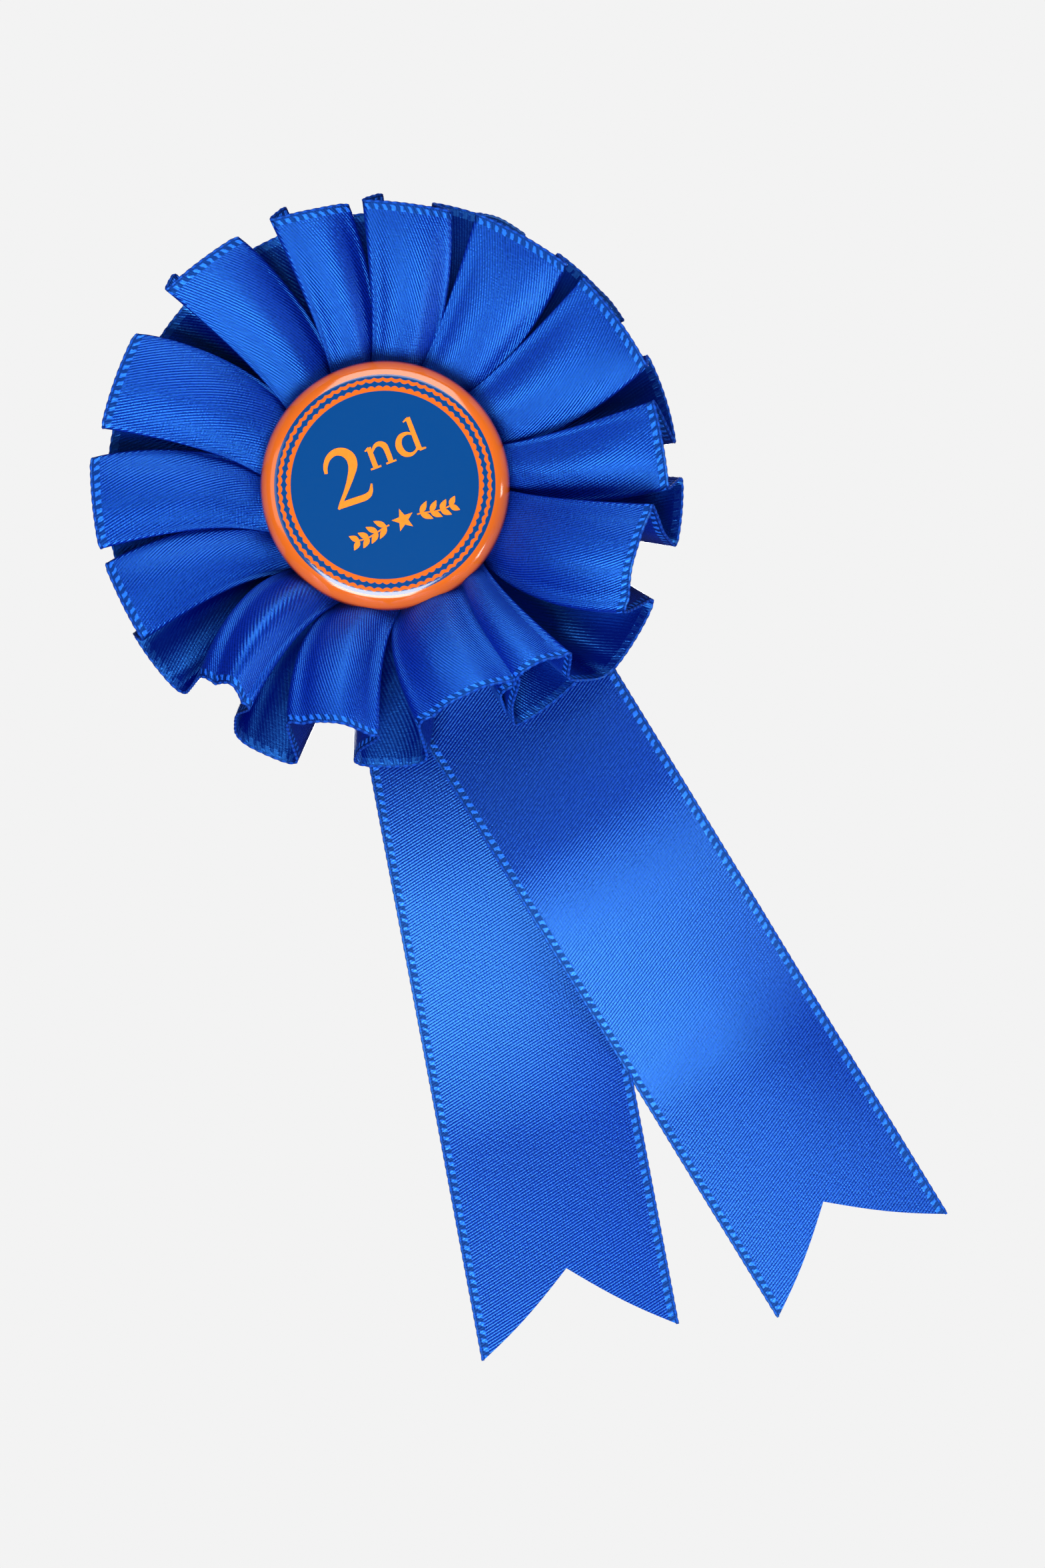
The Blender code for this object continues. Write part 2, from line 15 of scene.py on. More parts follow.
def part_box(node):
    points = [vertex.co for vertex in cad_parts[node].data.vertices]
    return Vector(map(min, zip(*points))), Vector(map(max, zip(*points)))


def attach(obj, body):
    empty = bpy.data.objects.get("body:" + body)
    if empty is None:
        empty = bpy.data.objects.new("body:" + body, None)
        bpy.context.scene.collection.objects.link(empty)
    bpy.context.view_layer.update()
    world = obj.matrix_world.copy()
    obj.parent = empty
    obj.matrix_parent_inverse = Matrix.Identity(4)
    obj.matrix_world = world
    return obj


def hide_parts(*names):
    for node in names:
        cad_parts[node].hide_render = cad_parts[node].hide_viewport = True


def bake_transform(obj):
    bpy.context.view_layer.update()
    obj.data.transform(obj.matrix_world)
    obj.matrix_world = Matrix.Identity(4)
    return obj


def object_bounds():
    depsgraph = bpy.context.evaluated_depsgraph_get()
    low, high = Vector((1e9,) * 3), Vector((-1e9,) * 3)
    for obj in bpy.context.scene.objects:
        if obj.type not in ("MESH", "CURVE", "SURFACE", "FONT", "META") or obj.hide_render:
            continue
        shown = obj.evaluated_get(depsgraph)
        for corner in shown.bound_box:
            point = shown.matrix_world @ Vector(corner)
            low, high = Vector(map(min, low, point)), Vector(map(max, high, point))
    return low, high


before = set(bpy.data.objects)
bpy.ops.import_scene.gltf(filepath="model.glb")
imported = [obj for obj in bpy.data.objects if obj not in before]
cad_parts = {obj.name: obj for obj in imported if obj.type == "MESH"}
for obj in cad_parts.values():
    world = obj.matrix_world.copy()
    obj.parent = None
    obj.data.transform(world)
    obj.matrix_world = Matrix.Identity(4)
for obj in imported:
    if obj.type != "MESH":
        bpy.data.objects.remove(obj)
CAD_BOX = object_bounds()

MM = 0.001
SHARP_ANGLE = math.radians(50)

# ---- Places and sizes taken from the frame ----
BADGE_LOW, BADGE_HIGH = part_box("badge_film")
CENTRE_X = (BADGE_LOW[0] + BADGE_HIGH[0]) / 2
CENTRE_Z = (BADGE_LOW[2] + BADGE_HIGH[2]) / 2
BADGE_RADIUS = (BADGE_HIGH[0] - BADGE_LOW[0]) / 2
BADGE_FRONT_Y = BADGE_LOW[1]
BADGE_ORIGIN = (CENTRE_X, BADGE_FRONT_Y, CENTRE_Z)
BADGE_REAR_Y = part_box("badge_collet")[1][1]
RUFFLE_BASE_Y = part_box("foundation_card")[0][1] - 0.35 * MM

# ---- Ribbon ----
RIBBON_WIDTH = 25.4 * MM
RIBBON_THICKNESS = 0.25 * MM
PICOT_PITCH = 1.1 * MM
PICOT_CORE = 0.15 * MM
PICOT_LOOP = 0.05 * MM
PICOT_STEP = 0.2 * MM
PICOT_SIDES = 6
FLOAT_PITCH = 0.38 * MM  # the satin's slanting floats
FLOAT_SLANT = math.tan(math.radians(22))
WEFT_PITCH = 0.34 * MM
GRAIN_SCALE = (1900, 3600, 1)
WEAVE_DEPTH = 0.045 * MM
# The woven edge: from the ribbon's middle, where it starts and where its dark outer thread starts.
EDGE_START = (RIBBON_WIDTH / 2 - 1.05 * MM, RIBBON_WIDTH / 2 - 0.92 * MM)
OUTER_THREAD = (RIBBON_WIDTH / 2 - 0.38 * MM, RIBBON_WIDTH / 2 - 0.22 * MM)

# ---- Ruffle ----
RUFFLE_INNER_RADIUS = 11.5 * MM
RUFFLE_ROWS = 27
LEAST_SWIRL = math.radians(3.5)  # how far the folds turn anticlockwise where they go under the badge
MOST_SWIRL = math.radians(14.5)
SWIRL_MIDDLE = math.radians(235)  # where round the rosette they turn most
SWIRL_START = 0.16  # the share of the ribbon's width where the badge's edge lies
SWIRL_FADE = 0.172  # the share over which the turn fades towards the rim
RISE_UNDER_BADGE = 0.12
RIM_CURL_RANGE = (1.25, 1.8)  # how strongly a low and a high panel curl over towards the rim; 1 is straight
CLOSING_POWER = 0.9  # how soon the gap between two front panels closes towards the badge
FRONT_HEIGHT_RANGE = (7.6 * MM, 12.8 * MM)
BACK_HEIGHT_RANGE = (0.7 * MM, 1.6 * MM)
FRONT_DROP = 0.9 * MM  # a front panel's clockwise side is lower than its raised fold
TUCK_WAVE = 4.2 * MM
TUCK_DEPTH = 0.10 * MM

# One pleat: angles in degrees and rim radii in millimetres of its raised front and its recessed back, and how
# far the raised fold's rear side stands out past the front's rim.
Pleat = namedtuple("Pleat", "front_start front_end front_radius back_start back_end back_radius ear")
PLEATS = (
    Pleat(167, 191, 29.4, 192, 208, 35.7, 0.5),
    Pleat(203, 222, 31.5, 218, 232, 37.4, 0.6),
    Pleat(233, 243, 32.5, 245, 261, 37.2, 0.8),
    Pleat(259, 275, 36.2, 272, 281, 35.6, 0.4),
    Pleat(279, 296, 36.8, 293, 305, 35.4, 0.4),
    Pleat(303, 322, 36.4, 320, 334, 34.4, 0.4),
    Pleat(333, 350, 36.0, 348, 359, 34.6, 2.3),
    Pleat(358, 373, 35.2, 371, 379, 34.8, 2.6),
    Pleat(377, 394, 34.9, 390, 411, 36.6, 2.3),
    Pleat(400, 420, 35.5, 417, 437, 37.0, 1.5),
    Pleat(425, 446, 35.8, 444, 463, 37.4, 1.0),
    Pleat(454, 471, 35.2, 469, 483, 37.9, 0.8),
    Pleat(476, 498, 33.5, 493, 512, 37.3, 0.6),
    Pleat(514, 530, 29.3, 517, 534, 35.0, 4.6),
)
LEAD_IN_TURN = 14  # how far before the first pleat, in degrees, the ribbon starts under the badge
LEAD_IN = (157, 173, 34.8)  # the ribbon's lower cut end: start and end angle and rim radius of a back panel
LAST_END = (533, 32.6, 4.5 * MM)  # the upper cut end: angle, rim radius and height
FOLD_ROUNDING = 1.7 * MM
TIGHT_ROUNDING = 1.3 * MM
LOOSE_ROUNDING = 2.4 * MM
FOOT_ROUNDING = 1.5 * MM
# At the inner edge, each bend's angle in degrees past its pleat's start, or past the next pleat's for the
# front's end, the back's end and the foot, and its height.
INNER_FOLD = (0, 2.1 * MM)
INNER_BACK_START = (10, 0.5 * MM)
INNER_FRONT_END = (6, 1.15 * MM)
INNER_BACK_END = (9, 0.45 * MM)
INNER_FOOT = (8.5, 1.5 * MM)
INNER_CUT = (2, 0.9 * MM)  # past LAST_END
BACK_TILT = 0.4 * MM  # how much further forward a back panel's clockwise side stands
LEAST_EAR = 0.4  # in millimetres; a smaller ear stays hidden behind its fold
FOOT_PLACE = 0.3  # where a fold's foot lies between the back panel and the fold
FOOT_RISE = 0.55  # and how high between them
EAR_TURN = 4.0  # how far clockwise of the raised fold, in degrees, its rear side stands out
EAR_RISE = 0.5  # the share of the ear that the fold itself already stands out by
END_FLARE = 0.7  # how much further out the low side of a front panel reaches
# A bend of the pleated ribbon: its angle and height at the inner edge and at the rim, its rim radius and
# the length that its rounding takes.
Bend = namedtuple("Bend", "inner_angle inner_height rim_angle rim_height rim_radius rounding")
BENDS_PER_PLEAT = 5
LEAD_IN_BENDS = 3
BEND_SAMPLES = 6
SPAN_SAMPLES = 9
MOST_ROUNDED = 0.48  # the largest share of a span that one rounding takes
INNER_ROUNDING = 0.35  # the roundings at the inner edge, as a share of those at the rim
TIGHT_CROWN = 1.4 * MM  # how far a tight front panel's middle stands proud of its sides
LOOSE_CROWN = 2.0 * MM
BACK_CROWN = 0.4 * MM
LOOSE_RADIUS = 34  # fronts whose rim lies inside this radius in millimetres stand up steeply, loose as tubes
CREASES = 1.6  # soft lengthwise creases on a panel
CREASE_DEPTH = 0.045  # as a share of the panel's crown
CROWN_POWER = 2.1  # 2 is an even arch, more is flatter in the middle

# ---- Tails ----
# A tail first rises by its crest towards the viewer, then falls back to hang behind its start: swoop is the
# share of the way that it falls between swoop_start and swoop_end. The rest is spread over DRIFT_RANGE; where
# swoop is above 1, the tail comes forward again there.
TAIL_TOP = 6.0 * MM
TAIL_NOTCH = 9.7 * MM
TAIL_CUT_BOW = 0.5 * MM
TAIL_COLUMNS = 21
TAIL_ROWS = 110
Tail = namedtuple("Tail", "lean start_x length crest fall swoop_start swoop_end swoop twist_place")
TAILS = {
    "right": Tail(
        lean=math.radians(10.5),
        start_x=0.0,
        length=117.3 * MM,
        crest=1.2 * MM,
        fall=8.2 * MM,
        swoop_start=50 * MM,
        swoop_end=88 * MM,
        swoop=0.68,
        twist_place=84 * MM,
    ),
    "left": Tail(
        lean=math.radians(-10.3),
        start_x=4.2 * MM,
        length=113.2 * MM,
        crest=0.8 * MM,
        fall=4.0 * MM,
        swoop_start=35 * MM,
        swoop_end=86 * MM,
        swoop=1.25,
        twist_place=66 * MM,
    ),
}
CREST_RISE = (28 * MM, 54 * MM)
DRIFT_RANGE = (48 * MM, 132 * MM)
TWIST_LENGTH = 13 * MM
CROWN_RISE = (40 * MM, 70 * MM)
TAIL_TWIST = 0.9 * MM  # how far the viewer's right edge turns back at twist_place
TAIL_CROWN = 0.35 * MM  # how far the middle stands proud of the edges

# ---- Badge ----
BADGE_SHOULDER = 2.6 * MM
BADGE_FLAT = BADGE_RADIUS - BADGE_SHOULDER
BADGE_CROWN = 0.45 * MM
SHOULDER_START = math.atan(2 * BADGE_CROWN / BADGE_FLAT)  # so that dome and shoulder meet without a crease
SHOULDER_RADIUS = BADGE_SHOULDER / (1 - math.sin(SHOULDER_START))
BADGE_SEGMENTS = 160
LETTER_RISE = 0.025 * MM
LAYER_STEP = 0.08  # how much more each stroke rises than the one before, as a share of that
ROLL_RADIUS = 0.45 * MM
SCALLOPS = 77
# Radii of the printed rings and of the wide band, each from its inner to its outer edge.
INNER_RING = (11.95 * MM, 12.42 * MM)
OUTER_RING = (13.25 * MM, 13.72 * MM)
BAND = (14.05 * MM, 30 * MM)
# Radii, each from inner to outer edge, over which painted shade darkens the band where the shoulder turns
# away: to red-orange, then to brown on the turned edge.
BAND_PAINTED_SHADE = (15.35 * MM, 15.88 * MM)
TURNED_EDGE_PAINTED_SHADE = (BADGE_RADIUS - 0.28 * MM, BADGE_RADIUS - 0.08 * MM)
# The gloss film over the print, as the shader's own settings.
FILM = {
    "Roughness": 0.6,
    "Specular_IOR_Level": 0.0,
    "Coat_Weight": 1.0,
    "Coat_Roughness": 0.13,
    "Coat_IOR": 1.58,
}
NAVY = (0.0002, 0.040, 0.170)
ORANGE = (0.56, 0.105, 0.005)
# Painted shade: the band's darker tones where the shoulder turns away, red-orange and then brown on the
# turned edge.
PAINTED_SHADE_ORANGE = (0.45, 0.056, 0.004)
RIM_PAINTED_SHADE = (0.20, 0.022, 0.004)

# ---- Small parts ----
STAPLE_NODES = ("tail_staple_left", "tail_staple_right")
PIN_NODES = ("pin_plate", "hinge_rivet", "pin_needle", "catch_housing", "catch_rotor")
STITCHES = 45
STITCH_SAMPLES = 720
STITCH_DEPTH = 0.9 * MM
STITCH_INSET = 0.9 * MM  # from the ruffle's inner edge
STITCH_HEIGHT = 1.5 * MM  # in front of the ruffle's base
THREAD_RADIUS = 0.13 * MM
THREAD_SIDES = 6
TWIST_PITCH = 0.6 * MM
FOAM_SIDES = 72
FOAM_CORNER = 0.22  # 1 is an ellipse, 0 a sharp-cornered rectangle
# The foam's rings from the bar to the card: the place in its thickness, -1 to 1, and the size.
FOAM_RINGS = ((-1, 0.4), (-1, 0.985), (-0.85, 1.0), (0, 0.975), (0.85, 1.0), (1, 0.985), (1, 0.4))

# ---- View ----
IMAGE_TURN = math.radians(21)  # the object lies turned anticlockwise in the picture
CAMERA_DISTANCE = 1.3
CAMERA_LENS = 235.0
FRAME_CENTRE = (17.5 * MM, -38.0 * MM)  # from the rosette's axis to the picture's middle, right and up in it
BACKGROUND = 0.896
AMBIENT = 0.05
FLOOR_RADIUS = 1.5
FLOOR_DROP = 0.6
FLOOR_SIDES = 48


# ---- Node tools ----
def add_node(tree, kind, inputs=None, **settings):
    """A node with its settings; each input is linked from a socket or set to a value."""
    node = tree.nodes.new(kind)
    for key, value in settings.items():
        setattr(node, key, value)
    for socket, value in (inputs or {}).items():
        if isinstance(value, bpy.types.NodeSocket):
            tree.links.new(value, node.inputs[socket])
        else:
            node.inputs[socket].default_value = value
    return node


def maths(operation, *values):
    """The output of a Math node, in the tree of the first value that is a socket."""
    tree = next(value.id_data for value in values if isinstance(value, bpy.types.NodeSocket))
    return add_node(tree, "ShaderNodeMath", dict(enumerate(values)), operation=operation).outputs[0]


def scaled(value, factor, shift=0.0):
    """value times factor plus shift."""
    return maths("MULTIPLY_ADD", value, factor, shift)


def step_between(value, low, high):
    """0 below low, 1 above high and smooth between."""
    settings = {"Value": value, "From Min": low, "From Max": high}
    return add_node(value.id_data, "ShaderNodeMapRange", settings, interpolation_type="SMOOTHSTEP").outputs[0]


def mix_colour(factor, first, second):
    """The mix of two colours, each a socket or an RGB triple, by a socket."""
    tree = factor.id_data
    node = add_node(tree, "ShaderNodeMix", {"Factor": factor}, data_type="RGBA")
    for socket, value in ((node.inputs[6], first), (node.inputs[7], second)):
        if isinstance(value, bpy.types.NodeSocket):
            tree.links.new(value, socket)
        else:
            socket.default_value = (*value, 1.0)
    return node.outputs[2]


def noise(tree, scale, detail=2.0, roughness=0.5, vector=None):
    """Noise from 0 to 1, in the piece's own coordinates unless a vector is given."""
    place = vector or object_coordinates(tree)
    settings = {"Vector": place, "Scale": scale, "Detail": detail, "Roughness": roughness}
    return add_node(tree, "ShaderNodeTexNoise", settings).outputs["Fac"]


def stretch(vector, scale):
    return add_node(vector.id_data, "ShaderNodeMapping", {"Vector": vector, "Scale": scale}).outputs[0]


def separate(vector):
    """The X, Y and Z of a vector."""
    return add_node(vector.id_data, "ShaderNodeSeparateXYZ", {"Vector": vector}).outputs


def hypotenuse(first, second):
    """The length of a line from its lengths along two axes."""
    squares = scaled(first, first, scaled(second, second))
    return maths("SQRT", squares)


def new_material(name, **sockets):
    """A Principled material with its constants set, its tree and its shader."""
    material = bpy.data.materials.new(name)
    material.use_nodes = True
    tree = material.node_tree
    shader = tree.nodes["Principled BSDF"]
    for socket, value in sockets.items():
        shader.inputs[socket.replace("_", " ")].default_value = value
    return material, tree, shader


def object_coordinates(tree):
    """The piece's own coordinates, in metres."""
    return add_node(tree, "ShaderNodeTexCoord").outputs["Object"]


def set_colour(tree, shader, colour):
    tree.links.new(colour, shader.inputs["Base Color"])


def set_bump(tree, shader, height, distance, strength):
    """Bumps the shader by a height from 0 to 1 times distance."""
    settings = {"Height": height, "Distance": distance, "Strength": strength}
    bump = add_node(tree, "ShaderNodeBump", settings)
    tree.links.new(bump.outputs["Normal"], shader.inputs["Normal"])


# ---- Materials ----
def ribbon_coordinates(tree):
    """Distances along and across the ribbon, in metres."""
    uv = add_node(tree, "ShaderNodeUVMap", uv_map="ribbon").outputs["UV"]
    along, across, _ = separate(uv)
    return uv, along, across


def wave(place, pitch):
    """A sine of one turn for each pitch, -1 to 1."""
    return maths("SINE", scaled(place, math.tau / pitch))


def stripes(place, pitch):
    """Soft stripes, 0 to 1, one for each pitch."""
    return scaled(wave(place, pitch), 0.5, 0.5)


def selvedge_dashes(tree, uv, along, across):
    """The woven edge's mask and its uneven stitches, 1 where light, up to a dark outer thread."""
    from_middle = maths("ABSOLUTE", maths("SUBTRACT", across, RIBBON_WIDTH / 2))
    band = step_between(from_middle, *EDGE_START)
    outer = step_between(from_middle, *OUTER_THREAD)
    uneven = noise(tree, 1500.0, vector=uv)
    slanted = scaled(from_middle, 0.35, along)
    place = scaled(uneven, 0.7 * MM, slanted)
    stitches = step_between(maths("SUBTRACT", wave(place, PICOT_PITCH), uneven), -0.7, 0.1)
    return band, scaled(stitches, maths("SUBTRACT", 1.0, outer))


def raised_share(tree):
    """1 on a gathered ribbon's raised folds and 0 down between them, where the satin gets painted shade."""
    x, y, z = separate(object_coordinates(tree))
    across = maths("SUBTRACT", x, CENTRE_X)
    up = maths("SUBTRACT", z, CENTRE_Z)
    outward = maths("SUBTRACT", hypotenuse(across, up), RUFFLE_INNER_RADIUS)
    height = maths("SUBTRACT", RUFFLE_BASE_Y - 0.6 * MM, y)
    raised = maths("DIVIDE", height, scaled(outward, 0.2, 1.5 * MM))
    return step_between(raised, 0.0, 0.9)


def satin_material(name, sheen_tint, gathered):
    """Royal blue satin ribbon: slanting floats, a woven edge and a coloured sheen; gathered, with painted
    shade down between its raised folds.
    """
    material, tree, shader = new_material(
        name,
        IOR=1.8,
        Specular_IOR_Level=1.0,
        Specular_Tint=(*sheen_tint, 1.0),
        Anisotropic=0.72,
        Anisotropic_Rotation=0.25,
        Sheen_Weight=0.04,
        Sheen_Roughness=0.35,
        Sheen_Tint=(0.05, 0.30, 1.0, 1.0),
    )
    uv, along, across = ribbon_coordinates(tree)
    ridges = stripes(scaled(across, FLOAT_SLANT, along), FLOAT_PITCH)
    threads = stripes(across, WEFT_PITCH)
    stretched = stretch(uv, GRAIN_SCALE)
    grain = step_between(noise(tree, 1.0, vector=stretched), 0.32, 0.68)
    mottle = noise(tree, 90.0, 3.0)
    weave = scaled(ridges, 0.58, scaled(threads, 0.12))
    weave = scaled(grain, 0.32, weave)
    tone = scaled(mottle, 0.25, maths("SUBTRACT", weave, 0.1))
    colour = mix_colour(tone, (0.0002, 0.0020, 0.075), (0.0012, 0.014, 0.29))
    band, dashes = selvedge_dashes(tree, uv, along, across)
    edge_colour = mix_colour(dashes, (0.0002, 0.0030, 0.09), (0.012, 0.11, 0.70))
    colour = mix_colour(band, colour, edge_colour)
    roughness = scaled(weave, 0.18, 0.27)
    gaps = scaled(band, maths("SUBTRACT", 1.0, dashes))
    roughness = scaled(gaps, 0.35, roughness)
    height = scaled(scaled(dashes, band), 0.8, weave)
    if gathered:
        raised = raised_share(tree)
        height = scaled(height, scaled(raised, 0.75, 0.25))
        # Painted shade: the colour turns deep navy down between the raised folds, where real shade falls.
        colour = mix_colour(raised, (0.0001, 0.0012, 0.095), colour)
        roughness = scaled(roughness, scaled(raised, 0.4, 0.6))
    set_colour(tree, shader, colour)
    tree.links.new(roughness, shader.inputs["Roughness"])
    set_bump(tree, shader, height, WEAVE_DEPTH, 1.3 if gathered else 0.8)
    tangent = add_node(tree, "ShaderNodeTangent", direction_type="UV_MAP", uv_map="ribbon")
    tree.links.new(tangent.outputs[0], shader.inputs["Tangent"])
    return material


def picot_material():
    """The thread loops along the ribbon's edge, lighter on each loop."""
    material, tree, shader = new_material(
        "picot_thread", Roughness=0.42, Specular_Tint=(0.10, 0.50, 1.0, 1.0), Specular_IOR_Level=0.8
    )
    _, along, _ = ribbon_coordinates(tree)
    loops = step_between(wave(along, PICOT_PITCH), -0.5, 0.5)
    fibres = noise(tree, 4000.0)
    colour = mix_colour(loops, (0.0015, 0.014, 0.18), (0.006, 0.055, 0.42))
    colour = mix_colour(scaled(fibres, 0.4), colour, (0.004, 0.03, 0.25))
    set_colour(tree, shader, colour)
    set_bump(tree, shader, fibres, 0.03 * MM, 0.6)
    return material


def badge_radius_and_scallop(tree):
    """Distance from the badge's middle and, 0 to 1, the scallops round it."""
    x, _, z = separate(object_coordinates(tree))
    turn = maths("ARCTAN2", z, x)
    return hypotenuse(x, z), maths("ABSOLUTE", wave(turn, 2 * math.tau / SCALLOPS))


def ring_mask(radius, inner, outer):
    """1 between two radii, each a number or a socket."""
    soft = 0.05 * MM
    inside = maths("DIVIDE", maths("SUBTRACT", radius, inner), soft)
    outside = maths("DIVIDE", maths("SUBTRACT", outer, radius), soft)
    lowest = maths("MINIMUM", inside, outside)
    return add_node(radius.id_data, "ShaderNodeClamp", {"Value": lowest}).outputs[0]



def badge_material():
    """Printed paper under clear film: a navy field, two scalloped rings and a wide orange band, with painted
    shade where the shoulder turns away.
    """
    material, tree, shader = new_material("badge_print_under_film", **FILM)
    radius, scallop = badge_radius_and_scallop(tree)
    outer = ring_mask(
        radius,
        scaled(scallop, -0.24 * MM, OUTER_RING[0]),
        scaled(scallop, -0.18 * MM, OUTER_RING[1]),
    )
    inner_edge = scaled(scallop, 0.24 * MM, INNER_RING[1])
    rings = maths("MAXIMUM", outer, ring_mask(radius, INNER_RING[0], inner_edge))
    mask = maths("MAXIMUM", ring_mask(radius, *BAND), rings)
    ink = noise(tree, 2500.0)
    # Painted shade: the band darkens as the shoulder turns away, to red-orange and then brown at the edge.
    orange = mix_colour(step_between(radius, *BAND_PAINTED_SHADE), ORANGE, PAINTED_SHADE_ORANGE)
    orange = mix_colour(step_between(radius, *TURNED_EDGE_PAINTED_SHADE), orange, RIM_PAINTED_SHADE)
    colour = mix_colour(mask, NAVY, orange)
    colour = mix_colour(scaled(ink, 0.10), colour, (0.02, 0.06, 0.12))
    set_colour(tree, shader, colour)
    ripple = noise(tree, 160.0, 1.0)
    set_bump(tree, shader, ripple, 0.02 * MM, 0.25)
    return material


def letter_material():
    """Orange ink under the same clear film."""
    material, tree, shader = new_material("orange_ink", **FILM)
    ink = noise(tree, 2500.0)
    colour = mix_colour(ink, (0.74, 0.170, 0.014), (0.84, 0.220, 0.028))
    set_colour(tree, shader, colour)
    return material


def metal_material(name, colour, roughness, scratch_direction):
    """Plated sheet metal with fine brushed lines, handling smudges and duller spots."""
    material, tree, shader = new_material(name, Metallic=1.0)
    stretched = stretch(object_coordinates(tree), scratch_direction)
    scratches = noise(tree, 1.0, 4.0, 0.7, stretched)
    smudges = noise(tree, 220.0, 4.0, 0.6)
    tone = mix_colour(smudges, tuple(c * 0.8 for c in colour), colour)
    set_colour(tree, shader, tone)
    rough = scaled(smudges, 0.22, roughness)
    tree.links.new(rough, shader.inputs["Roughness"])
    set_bump(tree, shader, scratches, 0.01 * MM, 0.35)
    return material


def card_material():
    """Off-white card: short fibres, faint grey specks and a slightly uneven surface."""
    material, tree, shader = new_material("white_card", Roughness=0.85, Specular_IOR_Level=0.3)
    fibres = noise(tree, 1400.0, 6.0, 0.7)
    cloudy = noise(tree, 160.0, 3.0)
    specks = step_between(noise(tree, 3200.0, 1.0), 0.68, 0.74)
    colour = mix_colour(cloudy, (0.74, 0.72, 0.66), (0.86, 0.85, 0.80))
    colour = mix_colour(scaled(specks, 0.35), colour, (0.42, 0.38, 0.32))
    set_colour(tree, shader, colour)
    set_bump(tree, shader, fibres, 0.04 * MM, 0.6)
    return material


def foam_material():
    """White foam tape, its open cells showing as small pits with painted shade in them."""
    material, tree, shader = new_material("foam_tape", Roughness=0.9, Specular_IOR_Level=0.2)
    settings = {"Vector": object_coordinates(tree), "Scale": 3200.0}
    cells = add_node(tree, "ShaderNodeTexVoronoi", settings).outputs["Distance"]
    # Painted shade: grey at the middle of each cell, down in its pit.
    colour = mix_colour(cells, (0.55, 0.55, 0.53), (0.90, 0.90, 0.88))
    set_colour(tree, shader, colour)
    set_bump(tree, shader, cells, 0.08 * MM, 0.8)
    return material


def glue_material():
    """Cloudy amber hot glue."""
    material, tree, shader = new_material(
        "hot_glue", Roughness=0.28, Subsurface_Weight=0.3, Subsurface_Scale=0.001
    )
    cloud = noise(tree, 400.0, 3.0)
    colour = mix_colour(cloud, (0.62, 0.50, 0.28), (0.80, 0.72, 0.52))
    set_colour(tree, shader, colour)
    set_bump(tree, shader, cloud, 0.1 * MM, 0.4)
    return material


def thread_material():
    """Blue sewing thread with its twist."""
    material, tree, shader = new_material("sewing_thread", Roughness=0.6, Sheen_Weight=0.4)
    _, along, across = ribbon_coordinates(tree)
    twist = maths("ADD", maths("DIVIDE", along, TWIST_PITCH), across)
    ply = stripes(twist, 1.0)
    colour = mix_colour(ply, (0.002, 0.012, 0.12), (0.012, 0.07, 0.45))
    set_colour(tree, shader, colour)
    set_bump(tree, shader, ply, 0.05 * MM, 0.7)
    return material


# ---- Mesh tools ----
def add_object(name, data):
    obj = bpy.data.objects.new(name, data)
    bpy.context.scene.collection.objects.link(obj)
    return obj


def new_piece(name, vertices, faces, material, vertex_uv=None, origin=(0, 0, 0)):
    """An object from vertices and faces, smooth but for its sharp edges."""
    mesh = bpy.data.meshes.new(name)
    shift = Vector(origin)
    corners_of_faces = [tuple(int(i) for i in face) for face in faces]
    mesh.from_pydata([Vector(v) - shift for v in vertices], [], corners_of_faces)
    if vertex_uv is not None:
        layer = mesh.uv_layers.new(name="ribbon")
        corners = np.empty(len(mesh.loops), dtype=np.int32)
        mesh.loops.foreach_get("vertex_index", corners)
        layer.data.foreach_set("uv", np.asarray(vertex_uv, dtype=np.float32)[corners].ravel())
    mesh.materials.append(material)
    mesh.shade_smooth()
    mesh.set_sharp_from_angle(angle=SHARP_ANGLE)
    obj = add_object(name, mesh)
    obj.location = shift
    return obj


def even_turns(count):
    return np.arange(count) * math.tau / count


def unit(vectors):
    return vectors / np.linalg.norm(vectors, axis=-1, keepdims=True)


def surface_normals(grid):
    """Unit normals of a grid of points, rows by columns."""
    along = np.gradient(grid, axis=0)
    across = np.gradient(grid, axis=1)
    return unit(np.cross(along, across))


def sheet_faces(rows, columns):
    """The faces of a closed sheet: a grid's front, its back and the wall between them."""
    count = rows * columns
    index = np.arange(count).reshape(rows, columns)
    front = np.stack([index[:-1, :-1], index[1:, :-1], index[1:, 1:], index[:-1, 1:]], axis=-1).reshape(-1, 4)
    border = np.concatenate([index[:, 0], index[-1, 1:], index[-2::-1, -1], index[0, -2:0:-1]])
    following = np.roll(border, -1)
    wall = np.stack([following, border, border + count, following + count], axis=-1)
    return np.vstack([front, front[:, ::-1] + count, wall])


def ribbon_uv(along, across):
    """Coordinates in metres for a grid."""
    return np.stack(np.broadcast_arrays(along, across), axis=-1)


def thick_sheet(name, grid, coordinates, thickness, material):
    """A sheet of cloth as one closed body, half the thickness to each side of a grid."""
    offset = surface_normals(grid) * thickness / 2
    vertices = np.concatenate([(grid + offset).reshape(-1, 3), (grid - offset).reshape(-1, 3)])
    uv = np.tile(coordinates.reshape(-1, 2), (2, 1))
    return new_piece(name, vertices, sheet_faces(*grid.shape[:2]), material, uv)


def lengths_along(points):
    """How far along a line each of its points lies."""
    return np.concatenate([[0], np.cumsum(np.linalg.norm(np.diff(points, axis=0), axis=1))])


def resampled(points, step, *others):
    """Points along a line at an even step, with other values measured at the same places."""
    lengths = lengths_along(points)
    wanted = np.linspace(0, lengths[-1], max(2, round(lengths[-1] / step)))
    results = []
    for values in (points, *others):
        results.append(np.stack([np.interp(wanted, lengths, column) for column in values.T], axis=1))
    return wanted, results


def spokes(first, second, turns):
    """At each point of a line, the directions at some turns from first to second."""
    return first[:, None] * np.cos(turns)[:, None] + second[:, None] * np.sin(turns)[:, None]


